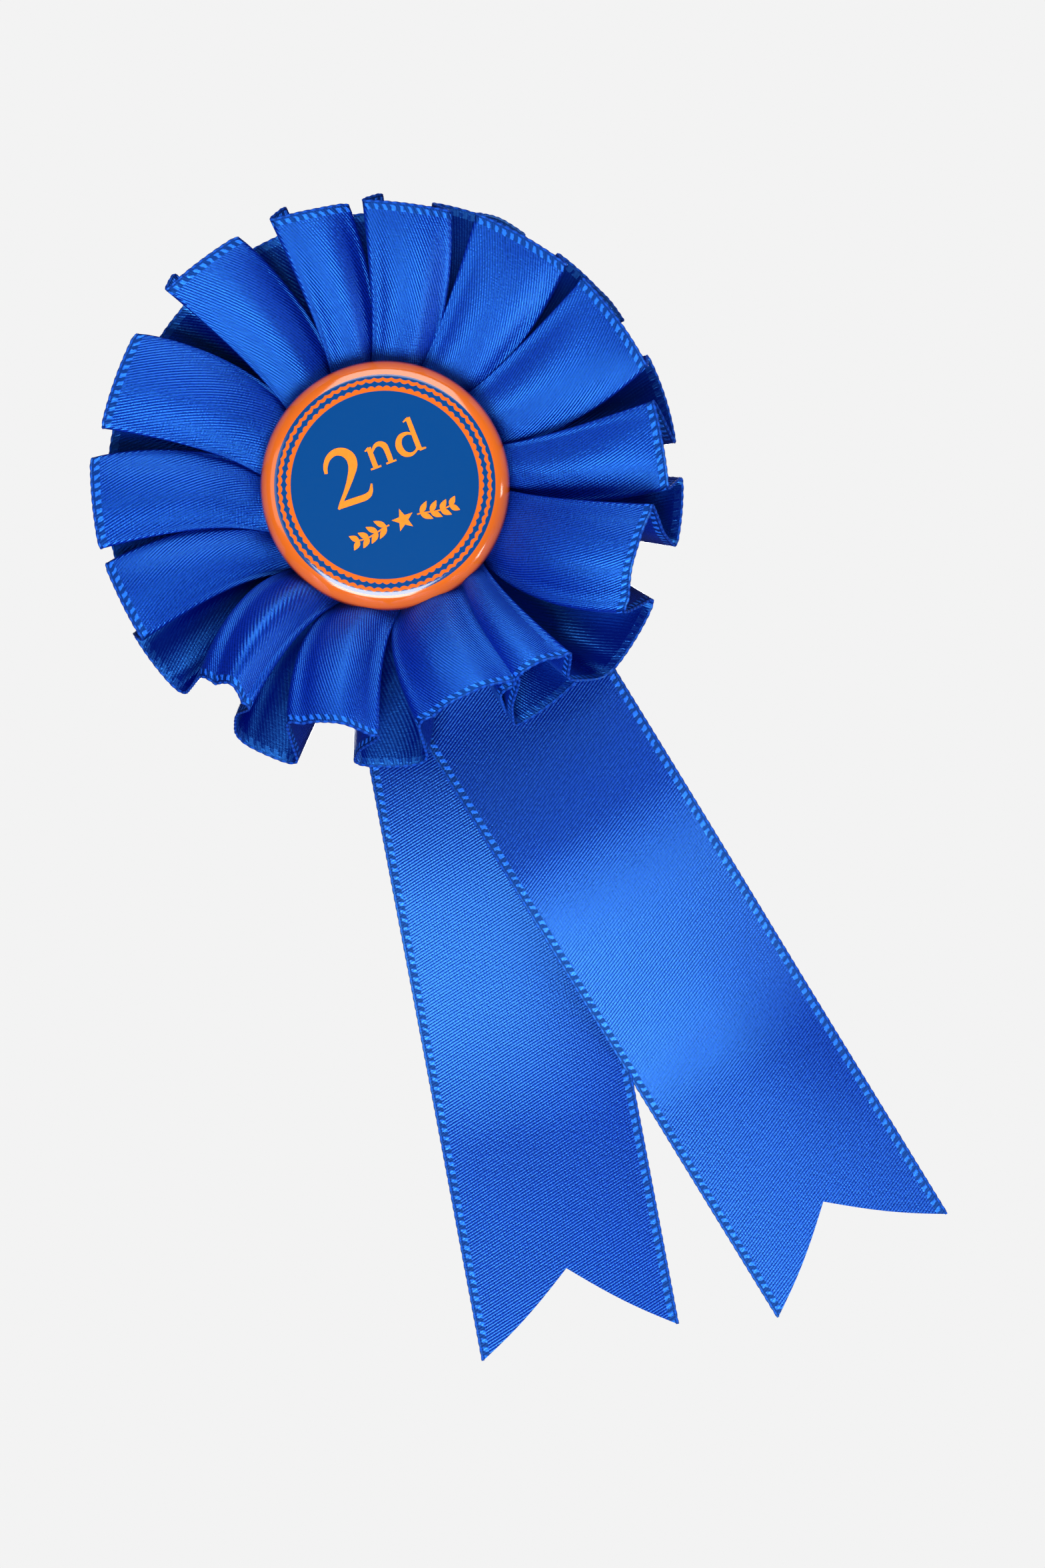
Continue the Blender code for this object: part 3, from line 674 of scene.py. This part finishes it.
def picot_edge(name, edge, outward, material):
    """A thread of even loops along a ribbon's edge; outward points away from the cloth."""
    lengths, (line, away) = resampled(edge, PICOT_STEP, outward)
    tangent = unit(np.gradient(line, axis=0))
    away = unit(away - tangent * np.sum(away * tangent, axis=1, keepdims=True))
    side = np.cross(tangent, away)
    swell = np.abs(np.sin(lengths * math.pi / PICOT_PITCH))
    radius = PICOT_CORE + PICOT_LOOP * swell
    turns = even_turns(PICOT_SIDES)
    centre = line + away * (PICOT_LOOP * swell)[:, None] * 0.6
    rings = centre[:, None, :] + radius[:, None, None] * spokes(away, side, turns)
    return tube_piece(name, rings, material, ribbon_uv(lengths[:, None], turns[None, :]))


def tube_piece(name, rings, material, coordinates=None, origin=(0, 0, 0)):
    """A closed tube from rings of points, its two ends capped."""
    count, sides, _ = rings.shape
    index = np.arange(count * sides).reshape(count, sides)
    turned = np.roll(index, -1, axis=1)
    quads = np.stack([index[:-1], index[1:], turned[1:], turned[:-1]], axis=-1).reshape(-1, 4)
    faces = [tuple(q) for q in quads] + [tuple(index[0]), tuple(index[-1][::-1])]
    uv = None if coordinates is None else coordinates.reshape(-1, 2)
    return new_piece(name, rings.reshape(-1, 3), faces, material, uv, origin=origin)


# ---- Ruffle ----
def steep_height(rim_radius, limits):
    """How far forward a panel's rim stands, so that the ribbon keeps its width."""
    reach = rim_radius * MM - RUFFLE_INNER_RADIUS
    return float(np.clip(math.sqrt(max(RIBBON_WIDTH**2 - reach**2, 0.0)), *limits))


def bend(start, inner, *rim):
    """A bend whose inner end lies past a start angle, at a height, as inner says."""
    return Bend(start + inner[0], inner[1], *rim)


def pleat_bends(pleat, following):
    """The bends of one pleat: its raised fold, the front's far side and the back's two sides."""
    high = steep_height(pleat.front_radius, FRONT_HEIGHT_RANGE)
    rounding = LOOSE_ROUNDING if pleat.front_radius < LOOSE_RADIUS else TIGHT_ROUNDING
    start = pleat.front_start
    start_radius = pleat.front_radius + EAR_RISE * pleat.ear
    end_radius = pleat.front_radius + END_FLARE
    rim_start = start - lost_to_rounding(FOLD_ROUNDING, start_radius)
    rim_end = pleat.front_end + lost_to_rounding(rounding, end_radius)
    return [
        bend(start, INNER_FOLD, rim_start, high + FRONT_DROP / 2, start_radius, FOLD_ROUNDING),
        bend(following, INNER_FRONT_END, rim_end, high - FRONT_DROP, end_radius, rounding),
        *back_bends(start, following, (pleat.back_start, pleat.back_end, pleat.back_radius), rounding),
    ]


def lost_to_rounding(rounding, radius):
    """The angle in degrees by which a rounded hairpin fold stops short of its corner."""
    return math.degrees(rounding / 2 / (radius * MM))


def back_bends(start, following, panel, rounding):
    """The two bends of a back panel, a start angle, an end angle and a rim radius."""
    back_start, back_end, radius = panel
    low = steep_height(radius, BACK_HEIGHT_RANGE)
    return [
        bend(start, INNER_BACK_START, back_start, low, radius, rounding),
        bend(following, INNER_BACK_END, back_end, low + BACK_TILT, radius, rounding),
    ]


def fold_foot(back_end, back_radius, following):
    """The bend half way up from a back panel to the next raised fold: the fold's rear side, or ear."""
    high = steep_height(following.front_radius, FRONT_HEIGHT_RANGE)
    low = steep_height(back_radius, BACK_HEIGHT_RANGE)
    start = following.front_start
    behind = min(1.0, max(0.0, following.ear - LEAST_EAR))
    place = FOOT_PLACE + (1 - FOOT_PLACE) * behind
    angle = back_end + place * (start - back_end) + EAR_TURN * behind
    radius = (back_radius + following.front_radius) / 2 * (1 - behind) + following.front_radius * behind
    height = low + FOOT_RISE * (high - low)
    return bend(start, INNER_FOOT, angle, height, radius + following.ear, FOOT_ROUNDING)


def ruffle_bends():
    """Every bend of the ruffle's ribbon, from one cut end to the other."""
    first, last = PLEATS[0], PLEATS[-1]
    bends = back_bends(first.front_start - LEAD_IN_TURN, first.front_start, LEAD_IN, TIGHT_ROUNDING)
    bends.append(fold_foot(LEAD_IN[1], LEAD_IN[2], first))
    for pleat, following in zip(PLEATS, PLEATS[1:]):
        bends += pleat_bends(pleat, following.front_start)
        bends.append(fold_foot(pleat.back_end, pleat.back_radius, following))
    bends += pleat_bends(last, first.front_start + 360)[:2]
    end_angle, end_radius, end_height = LAST_END
    bends.append(bend(end_angle, INNER_CUT, end_angle, end_height, end_radius, 0.0))
    return bends


def rise_from_badge(share, curl):
    """0 at the inner edge and 1 at the rim: nearly level, then steep, then curling over."""
    if share < SWIRL_START:
        return RISE_UNDER_BADGE * share / SWIRL_START
    beyond = (share - SWIRL_START) / (1 - SWIRL_START)
    return RISE_UNDER_BADGE + (1 - RISE_UNDER_BADGE) * (1 - (1 - beyond) ** curl)


def bends_at(bends, share):
    """The bends' angles, heights and radii at one share of the ribbon's width, 0 at the badge."""
    data = np.array(bends, dtype=float)
    inner_angle, inner_height, rim_angle, rim_height, rim_radius, _ = data.T
    closing = (1 - share) ** CLOSING_POWER
    angle = np.radians(rim_angle + (inner_angle - rim_angle) * closing)
    nearness = (0.5 + 0.5 * np.cos(angle - SWIRL_MIDDLE)) ** 2
    swirl = LEAST_SWIRL + (MOST_SWIRL - LEAST_SWIRL) * nearness
    angle = angle - swirl * math.exp(-max(0.0, share - SWIRL_START) / SWIRL_FADE)
    curl = np.interp(rim_height, FRONT_HEIGHT_RANGE, RIM_CURL_RANGE)
    height = inner_height + (rim_height - inner_height) * rise_from_badge(share, curl)
    radius = RUFFLE_INNER_RADIUS + (rim_radius * MM - RUFFLE_INNER_RADIUS) * share
    return angle, height, radius


def rounded_line(points, rounding):
    """Samples along a line of points with each inner corner rounded."""
    line = [points[0]]
    for before, corner, after, reach in zip(points, points[1:], points[2:], rounding[1:]):
        near = []
        for way in (before - corner, after - corner):
            near.append(corner + way * min(MOST_ROUNDED, reach / np.linalg.norm(way[:2])))
        for t in np.linspace(0, 1, BEND_SAMPLES):
            line.append((1 - t) ** 2 * near[0] + 2 * t * (1 - t) * corner + t**2 * near[1])
    line.append(points[-1])
    return np.array(line)


def fill_spans(line, bulges):
    """Adds points on the spans between the bends, each span bowed forward by its bulge."""
    filled = [line[0]]
    position = 0
    for bulge in bulges:
        start, end = line[position], line[position + 1]
        direction = (end - start)[:2]
        steepness = start[1] / (start[2] - RUFFLE_INNER_RADIUS + 1 * MM)
        normal = np.array([-direction[1], direction[0], -direction[0] * steepness])
        normal /= max(np.linalg.norm(direction), 1e-9)
        for t in np.linspace(0, 1, SPAN_SAMPLES + 2)[1:-1]:
            crown = 1 - abs(2 * t - 1) ** CROWN_POWER
            crease = CREASE_DEPTH * math.sin(math.tau * CREASES * t + position) * crown
            filled.append(start + (end - start) * t + normal * bulge * (crown + crease))
        filled += list(line[position + 1 : position + 1 + BEND_SAMPLES])
        position += BEND_SAMPLES
    return filled


def ruffle_grid():
    """The ruffle's middle surface, rows round the rosette by columns from the badge to the rim."""
    bends = ruffle_bends()
    rounding = [b.rounding for b in bends]
    columns = []
    for share in np.linspace(0, 1, RUFFLE_ROWS):
        angle, height, radius = bends_at(bends, share)
        points = np.stack([angle * radius.mean(), height, radius], axis=1)
        limit = INNER_ROUNDING + (1 - INNER_ROUNDING) * share
        line = rounded_line(points, [r * limit for r in rounding])
        bulges = [panel_bulge(i, share) for i in range(len(bends) - 1)]
        line = np.array(fill_spans(line, bulges))
        columns.append((line, radius.mean(), share))
    rows = []
    for line, mean_radius, share in columns:
        angle = line[:, 0] / mean_radius
        tuck = TUCK_DEPTH * (1 - share) ** 2 * np.sin(line[:, 0] * math.tau / TUCK_WAVE)
        x = CENTRE_X + line[:, 2] * np.sin(angle)
        z = CENTRE_Z + line[:, 2] * np.cos(angle)
        rows.append(np.stack([x, RUFFLE_BASE_Y - line[:, 1] - tuck, z], axis=1))
    return np.stack(rows, axis=1)


def panel_bulge(span, share):
    """How far the span after a bend bows: fronts are crowned, backs hardly, side walls not."""
    place, kind = divmod(span - LEAD_IN_BENDS, BENDS_PER_PLEAT)
    fading = math.sin(math.pi * min(1.0, 0.15 + 0.75 * share))
    if kind == 2:
        return BACK_CROWN * fading
    if kind != 0:
        return 0.0
    if PLEATS[place].front_radius < LOOSE_RADIUS:
        return LOOSE_CROWN * math.sin(math.pi / 2 * min(1.0, 0.2 + share))
    return TIGHT_CROWN * fading


def make_ruffle(satin, picot):
    grid = ruffle_grid()
    along = lengths_along(grid[:, -1])[:, None]
    across = np.linspace(0, RIBBON_WIDTH, grid.shape[1])[None, :]
    ruffle = thick_sheet("ruffle_satin", grid, ribbon_uv(along, across), RIBBON_THICKNESS, satin)
    rim = picot_edge("ruffle_rim_picots", grid[:, -1], grid[:, -1] - grid[:, -2], picot)
    for piece in (ruffle, rim):
        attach(piece, "root")
    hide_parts("ruffle_ribbon")
    return grid


# ---- Tails ----
def tail_grid(name, tail):
    """A tail's middle surface, gently bowed and cut as a swallow tail, and its coordinates."""
    low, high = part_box(f"{name}_tail_upper")
    layer_y = (low[1] + high[1]) / 2
    across = np.linspace(-RIBBON_WIDTH / 2, RIBBON_WIDTH / 2, TAIL_COLUMNS)
    outward = np.abs(across) / (RIBBON_WIDTH / 2)
    ends = tail.length - TAIL_NOTCH * (1 - outward) + TAIL_CUT_BOW * np.sin(math.pi * outward)
    down = -TAIL_TOP + (ends + TAIL_TOP)[None, :] * np.linspace(0, 1, TAIL_ROWS)[:, None]
    side = np.broadcast_to(across, down.shape)
    x = CENTRE_X + tail.start_x + down * math.sin(tail.lean) + side * math.cos(tail.lean)
    z = CENTRE_Z - down * math.cos(tail.lean) + side * math.sin(tail.lean)
    y = layer_y + tail_drape(tail, down, side)
    return np.stack([x, y, z], axis=-1), ribbon_uv(down + TAIL_TOP, side + RIBBON_WIDTH / 2)


def smooth_rise(value, start, end):
    """0 before start, 1 after end and smooth between."""
    share = np.clip((value - start) / (end - start), 0, 1)
    return share * share * (3 - 2 * share)


def tail_drape(tail, down, side):
    """How far back a tail lies: it crests below the ruffle, falls back and turns one edge."""
    crest = smooth_rise(down, *CREST_RISE) * tail.crest
    swoop = smooth_rise(down, tail.swoop_start, tail.swoop_end) * tail.swoop
    drift = smooth_rise(down, *DRIFT_RANGE) * (1 - tail.swoop)
    fall = (swoop + drift) * (tail.fall + tail.crest)
    turned = np.clip(side / (RIBBON_WIDTH / 2), 0, 1) ** 2
    twist = TAIL_TWIST * turned * np.exp(-(((down - tail.twist_place) / TWIST_LENGTH) ** 2))
    crown = TAIL_CROWN * smooth_rise(down, *CROWN_RISE) * (1 - (side / (RIBBON_WIDTH / 2)) ** 2)
    return fall - crest + twist - crown


def make_tail(name, tail, satin, picot):
    grid, uv = tail_grid(name, tail)
    ribbon = thick_sheet(f"{name}_tail_satin", grid, uv, RIBBON_THICKNESS, satin)
    edges = [
        picot_edge(f"{name}_tail_picots_{label}", grid[:, column], grid[:, column] - grid[:, inside], picot)
        for label, column, inside in (("a", 0, 1), ("b", -1, -2))
    ]
    for piece in (ribbon, *edges):
        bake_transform(piece)
    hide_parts(f"{name}_tail_upper", f"{name}_tail_lower")


# ---- Badge ----
def dome_y(radius):
    """The badge's front surface at a distance from its middle."""
    if radius <= BADGE_FLAT:
        return BADGE_FRONT_Y + BADGE_CROWN * (radius / BADGE_FLAT) ** 2
    sine = (radius - BADGE_FLAT) / SHOULDER_RADIUS + math.sin(SHOULDER_START)
    return shoulder_y(math.asin(min(1.0, sine)))


def shoulder_y(turn):
    """The shoulder's height where it has turned by an angle from facing the viewer."""
    return BADGE_FRONT_Y + BADGE_CROWN + SHOULDER_RADIUS * (math.cos(SHOULDER_START) - math.cos(turn))


def badge_profile():
    """Points (radius, y) over the face and the shoulder, down the rim and in under its roll."""
    face = [(r, dome_y(r)) for r in np.linspace(0.2 * MM, BADGE_FLAT, 18)]
    turns = np.linspace(SHOULDER_START, math.pi / 2, 16)[1:]
    start = BADGE_FLAT - SHOULDER_RADIUS * math.sin(SHOULDER_START)
    shoulder = [(start + SHOULDER_RADIUS * math.sin(t), shoulder_y(t)) for t in turns]
    rear = BADGE_REAR_Y - 0.1 * MM
    radius, y = BADGE_RADIUS - ROLL_RADIUS, rear - ROLL_RADIUS
    rim = [(BADGE_RADIUS, y - ROLL_RADIUS)]
    for t in np.linspace(0.2, 2.9, 8):
        rim.append((radius + ROLL_RADIUS * math.cos(t), y + ROLL_RADIUS * math.sin(t)))
    inside = [
        (BADGE_RADIUS - 0.9 * MM, rear - 1.2 * MM),
        (BADGE_RADIUS - 0.9 * MM, BADGE_FRONT_Y + 3.2 * MM),
        (BADGE_RADIUS - 3.2 * MM, BADGE_FRONT_Y + 1.6 * MM),
        (0.2 * MM, BADGE_FRONT_Y + 0.6 * MM),
    ]
    return face + shoulder + rim + inside


def make_badge(print_material):
    profile = np.array(badge_profile())
    turns = even_turns(BADGE_SEGMENTS)
    radius, y = profile[:, 0][:, None], profile[:, 1][:, None]
    x = CENTRE_X + radius * np.cos(turns)[None, :]
    z = CENTRE_Z + radius * np.sin(turns)[None, :]
    rings = np.stack([x, np.broadcast_to(y, x.shape), z], axis=-1)
    badge = tube_piece("badge_face", rings, print_material, origin=BADGE_ORIGIN)
    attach(badge, "root")
    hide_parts("badge_film", "badge_print", "badge_shell")


# Each stroke is a line of (x, z, half width) in millimetres from the badge's middle.
NUMBER_STROKES = (
    ((-6.45, 3.95, 0.20), (-6.25, 4.75, 0.27), (-5.60, 5.65, 0.34), (-4.55, 6.10, 0.42), (-3.50, 5.80, 0.54),
     (-2.85, 4.90, 0.62), (-2.90, 3.80, 0.58), (-3.60, 2.60, 0.42), (-4.75, 1.15, 0.28), (-5.95, -0.15, 0.22),
     (-6.35, -0.62, 0.20)),
    ((-6.60, -0.80, 0.12), (-5.90, -0.52, 0.38), (-4.20, -0.55, 0.42), (-2.75, -0.58, 0.40),
     (-2.00, -0.20, 0.28), (-1.50, 0.75, 0.10)),
)
ORDINAL_STROKES = (
    ((-0.85, 4.85, 0.08), (-0.25, 5.08, 0.18)),
    ((-0.25, 5.15, 0.30), (-0.25, 2.42, 0.33)),
    ((-0.95, 2.42, 0.12), (0.45, 2.42, 0.12)),
    ((-0.05, 4.40, 0.10), (0.55, 5.02, 0.22), (1.20, 5.12, 0.32), (1.70, 4.70, 0.38), (1.82, 4.00, 0.34),
     (1.82, 2.42, 0.33)),
    ((1.15, 2.42, 0.12), (2.50, 2.42, 0.12)),
    ((5.60, 4.75, 0.12), (4.90, 5.12, 0.20), (4.05, 4.98, 0.32), (3.52, 4.30, 0.40), (3.45, 3.50, 0.42),
     (3.80, 2.76, 0.36), (4.50, 2.42, 0.24), (5.20, 2.60, 0.15), (5.65, 3.05, 0.10)),
    ((5.00, 6.60, 0.08), (5.75, 6.86, 0.18)),
    ((5.75, 6.95, 0.30), (5.75, 2.60, 0.33)),
    ((5.75, 2.62, 0.20), (6.60, 2.55, 0.10)),
)


def smooth_stroke(points, step=0.12):
    """A stroke's points joined by a smooth curve through them."""
    data = np.array(points)
    if len(data) == 2:
        return np.linspace(data[0], data[1], 8)
    padded = np.vstack([2 * data[0] - data[1], data, 2 * data[-1] - data[-2]])
    curve = []
    for a, b, c, d in zip(padded, padded[1:], padded[2:], padded[3:]):
        pieces = max(2, int(np.linalg.norm((c - b)[:2]) / step))
        for t in np.arange(pieces) / pieces:
            bent = (2 * a - 5 * b + 4 * c - d) * t**2 + (3 * b - a - 3 * c + d) * t**3
            curve.append(0.5 * (2 * b + (c - a) * t + bent))
    return np.array(curve + [data[-1]])


def ribbon_of_ink(points, layer):
    """A stroke as a thin closed solid that lies on the badge's face: its vertices and faces."""
    line = smooth_stroke(points)
    tangent = unit(np.gradient(line[:, :2], axis=0))
    normal = np.stack([-tangent[:, 1], tangent[:, 0]], axis=1)
    sides = [line[:, :2] + normal * line[:, 2:] * share for share in (-1.0, 0.0, 1.0)]
    return solid_on_badge(np.stack(sides, axis=1), layer)


def solid_on_badge(flat_grid, layer):
    """A grid of flat points in millimetres laid on the badge as a thin closed solid."""
    flat = flat_grid.reshape(-1, 2) * MM
    surface = np.array([dome_y(float(np.hypot(*p))) for p in flat])
    sides = []
    for y in (surface - LETTER_RISE * (1 + LAYER_STEP * layer), surface + LETTER_RISE):
        sides.append(np.column_stack([CENTRE_X + flat[:, 0], y, CENTRE_Z + flat[:, 1]]))
    return np.vstack(sides), sheet_faces(*flat_grid.shape[:2])


def star(centre, size):
    """A five-pointed star as a grid of rings, from its middle to its outline."""
    outline = []
    for corner in range(10):
        reach = size if corner % 2 == 0 else size * 0.42
        turn = math.pi / 2 + corner * math.pi / 5
        outline.append((centre[0] + reach * math.cos(turn), centre[1] + reach * math.sin(turn)))
    outline = np.array(outline + outline[:1])
    middle = np.array(centre)
    return np.stack([middle + (outline - middle) * share for share in (0.02, 0.5, 1.0)], axis=1)


def leaf(root, angle, length, width):
    """A pointed leaf from its root."""
    direction = np.array([math.cos(angle), math.sin(angle)])
    side = np.array([-direction[1], direction[0]])
    shares = np.linspace(0, 1, 9)
    spine = np.array(root) + direction * length * shares[:, None]
    half = (width * np.sin(math.pi * shares**0.8) + 0.03)[:, None] * side
    return np.stack([spine - half, spine, spine + half], axis=1)


def laurel():
    """A generic ornament: a star between two leafy sprigs."""
    centre = np.array((0.6, -5.0))
    grids = [star(centre, 1.5)]
    for side in (-1, 1):
        reach = np.linspace(1.9, 6.6, 12)
        stem = centre + np.stack([side * reach, 0.28 * np.sin(reach * 0.9) - 0.25], axis=1)
        grids.append(np.stack([stem - (0, 0.09), stem, stem + (0, 0.09)], axis=1))
        for place in range(4):
            root = stem[1 + place * 3]
            for tilt in (0.75, -0.75):
                angle = tilt if side > 0 else math.pi - tilt
                grids.append(leaf(root, angle, 1.75 - 0.12 * place, 0.34))
    return grids


def make_badge_ink(ink):
    """The ordinal and the ornament, in orange ink on the badge's face."""
    shapes = [ribbon_of_ink(s, i) for i, s in enumerate(NUMBER_STROKES + ORDINAL_STROKES)]
    shapes += [solid_on_badge(g, i) for i, g in enumerate(laurel())]
    vertices, faces = [], []
    for points, quads in shapes:
        faces += [tuple(q + sum(len(v) for v in vertices)) for q in quads]
        vertices.append(points)
    letters = new_piece("badge_ink", np.vstack(vertices), faces, ink, origin=BADGE_ORIGIN)
    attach(letters, "root")


# ---- Small parts ----

def make_gathering_stitches(thread):
    """A running stitch round the ruffle's inner edge, in and out of the cloth."""
    turns = np.linspace(0, math.tau, STITCH_SAMPLES)
    radius = RUFFLE_INNER_RADIUS + STITCH_INSET
    y = RUFFLE_BASE_Y - STITCH_HEIGHT + STITCH_DEPTH * np.sin(turns * STITCHES)
    line = np.stack([CENTRE_X + radius * np.sin(turns), y, CENTRE_Z + radius * np.cos(turns)], axis=1)
    outward = np.stack([np.sin(turns), np.zeros_like(turns), np.cos(turns)], axis=1)
    forward = np.broadcast_to((0.0, -1.0, 0.0), outward.shape)
    around = even_turns(THREAD_SIDES)
    rings = line[:, None, :] + THREAD_RADIUS * spokes(outward, forward, around)
    coordinates = ribbon_uv((turns * radius)[:, None], around[None, :] / math.tau)
    stitches = tube_piece("gathering_thread_stitches", rings, thread, coordinates)
    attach(stitches, "root")
    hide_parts("gathering_thread")


def make_foam_tape(foam):
    """The foam tape between bar and card: rounded corners and sides that pull in a little."""
    low, high = (np.array(corner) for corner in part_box("foam_pad"))
    middle, half = (low + high) / 2, (high - low) / 2
    turns = even_turns(FOAM_SIDES)
    outline_x, outline_z = (np.sign(v) * np.abs(v) ** FOAM_CORNER for v in (np.cos(turns), np.sin(turns)))
    rings = []
    for share, size in FOAM_RINGS:
        half_x = half[0] - (1 - size) * half[2] if size > 0.5 else half[0] * size
        x = middle[0] + outline_x * half_x
        z = middle[2] + outline_z * half[2] * size
        rings.append(np.stack([x, np.full(FOAM_SIDES, middle[1] + share * half[1]), z], axis=1))
    rings = np.array(rings)
    tape = tube_piece("foam_tape", rings, foam, np.zeros((*rings.shape[:2], 2)))
    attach(tape, "root")
    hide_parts("foam_pad")


def finish_hardware(materials):
    """Gives the CAD nodes that stay their materials, as pairs of a material and its nodes."""
    for material, names in materials:
        for name in names:
            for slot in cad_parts[name].material_slots:
                slot.material = material


# ---- Stage ----
PICTURE_RIGHT = Vector((math.cos(IMAGE_TURN), 0.0, -math.sin(IMAGE_TURN)))
PICTURE_UP = Vector((math.sin(IMAGE_TURN), 0.0, math.cos(IMAGE_TURN)))
TO_VIEWER = Vector((0.0, -1.0, 0.0))
ROSETTE_CENTRE = Vector(BADGE_ORIGIN)


def facing(direction, up):
    """A rotation whose local Z is direction and whose local Y leans towards up."""
    back = direction.normalized()
    right = up.cross(back).normalized()
    return Matrix((right, back.cross(right), back)).transposed().to_4x4()


def make_camera():
    data = bpy.data.cameras.new("camera")
    data.lens = CAMERA_LENS
    data.clip_start = 0.01
    camera = add_object("camera", data)
    target = ROSETTE_CENTRE + PICTURE_RIGHT * FRAME_CENTRE[0] + PICTURE_UP * FRAME_CENTRE[1]
    place = Matrix.Translation(target + TO_VIEWER * CAMERA_DISTANCE)
    camera.matrix_world = place @ facing(TO_VIEWER, PICTURE_UP)
    bpy.context.scene.camera = camera


def softbox(name, clock_angle, off_axis, distance, size, power):
    """An area light seen from the rosette at an angle, 0 right and 90 up in the picture."""
    turn, tilt = math.radians(clock_angle), math.radians(off_axis)
    sideways = PICTURE_RIGHT * math.cos(turn) + PICTURE_UP * math.sin(turn)
    direction = TO_VIEWER * math.cos(tilt) + sideways * math.sin(tilt)
    data = bpy.data.lights.new(name, "AREA")
    data.shape = "RECTANGLE"
    data.size, data.size_y = size
    data.energy = power
    light = add_object(name, data)
    place = Matrix.Translation(ROSETTE_CENTRE + direction * distance)
    light.matrix_world = place @ facing(direction, TO_VIEWER)


def make_lights():
    softbox("softbox_below", -98, 37, 0.8, (0.50, 0.46), 10.4)
    softbox("softbox_right", -18, 78, 0.8, (0.55, 0.16), 3.5)
    softbox("key_above", 84, 54, 1.0, (1.1, 0.70), 13.5)
    softbox("softbox_left", 180, 48, 1.0, (0.6, 0.6), 2.0)
    softbox("fill_behind", 60, 176, 0.9, (0.35, 0.35), 4.5)


def pale_glow(tree, glow_kind, output_kind):
    """A glow that the viewer sees as the pale background but that hardly lights the object."""
    tree.nodes.clear()
    shown = add_node(tree, glow_kind, {"Color": (1, 1, 1, 1), "Strength": BACKGROUND})
    ambient = add_node(tree, glow_kind, {"Color": (1, 1, 1, 1), "Strength": AMBIENT})
    seen = add_node(tree, "ShaderNodeLightPath").outputs["Is Camera Ray"]
    mixed = add_node(tree, "ShaderNodeMixShader", {0: seen, 1: ambient.outputs[0], 2: shown.outputs[0]})
    output = add_node(tree, output_kind)
    tree.links.new(mixed.outputs[0], output.inputs["Surface"])


def make_world():
    world = bpy.data.worlds.new("surround")
    bpy.context.scene.world = world
    world.use_nodes = True
    pale_glow(world.node_tree, "ShaderNodeBackground", "ShaderNodeOutputWorld")


def make_floor():
    """A wide floor well below, as bright as the surround so that no horizon shows."""
    material = bpy.data.materials.new("pale_floor")
    material.use_nodes = True
    pale_glow(material.node_tree, "ShaderNodeEmission", "ShaderNodeOutputMaterial")
    turns = even_turns(FLOOR_SIDES)
    height = np.full(FLOOR_SIDES, CAD_BOX[0][2] - FLOOR_DROP)
    points = np.stack([FLOOR_RADIUS * np.cos(turns), FLOOR_RADIUS * np.sin(turns), height], axis=1)
    floor = new_piece("pale_floor", points, [range(FLOOR_SIDES)], material)


def main():
    bpy.context.scene.view_settings.view_transform = "Standard"
    picot = picot_material()
    make_gathering_stitches(thread_material())
    make_ruffle(satin_material("blue_satin_gathered", (0.040, 0.305, 1.0), gathered=True), picot)
    hanging = satin_material("blue_satin", (0.070, 0.36, 1.0), gathered=False)
    for name, tail in TAILS.items():
        make_tail(name, tail, hanging, picot)
    make_badge(badge_material())
    make_badge_ink(letter_material())
    make_foam_tape(foam_material())
    nickel = metal_material("nickel_plate", (0.72, 0.70, 0.67), 0.20, (300, 4000, 4000))
    tinplate = metal_material("tinplate", (0.66, 0.66, 0.66), 0.28, (3000, 3000, 300))
    finish_hardware((
        (nickel, STAPLE_NODES + PIN_NODES),
        (tinplate, ("badge_collet",)),
        (card_material(), ("foundation_card", "back_card")),
        (glue_material(), ("badge_glue",)),
    ))
    make_world()
    make_lights()
    make_floor()
    make_camera()


main()
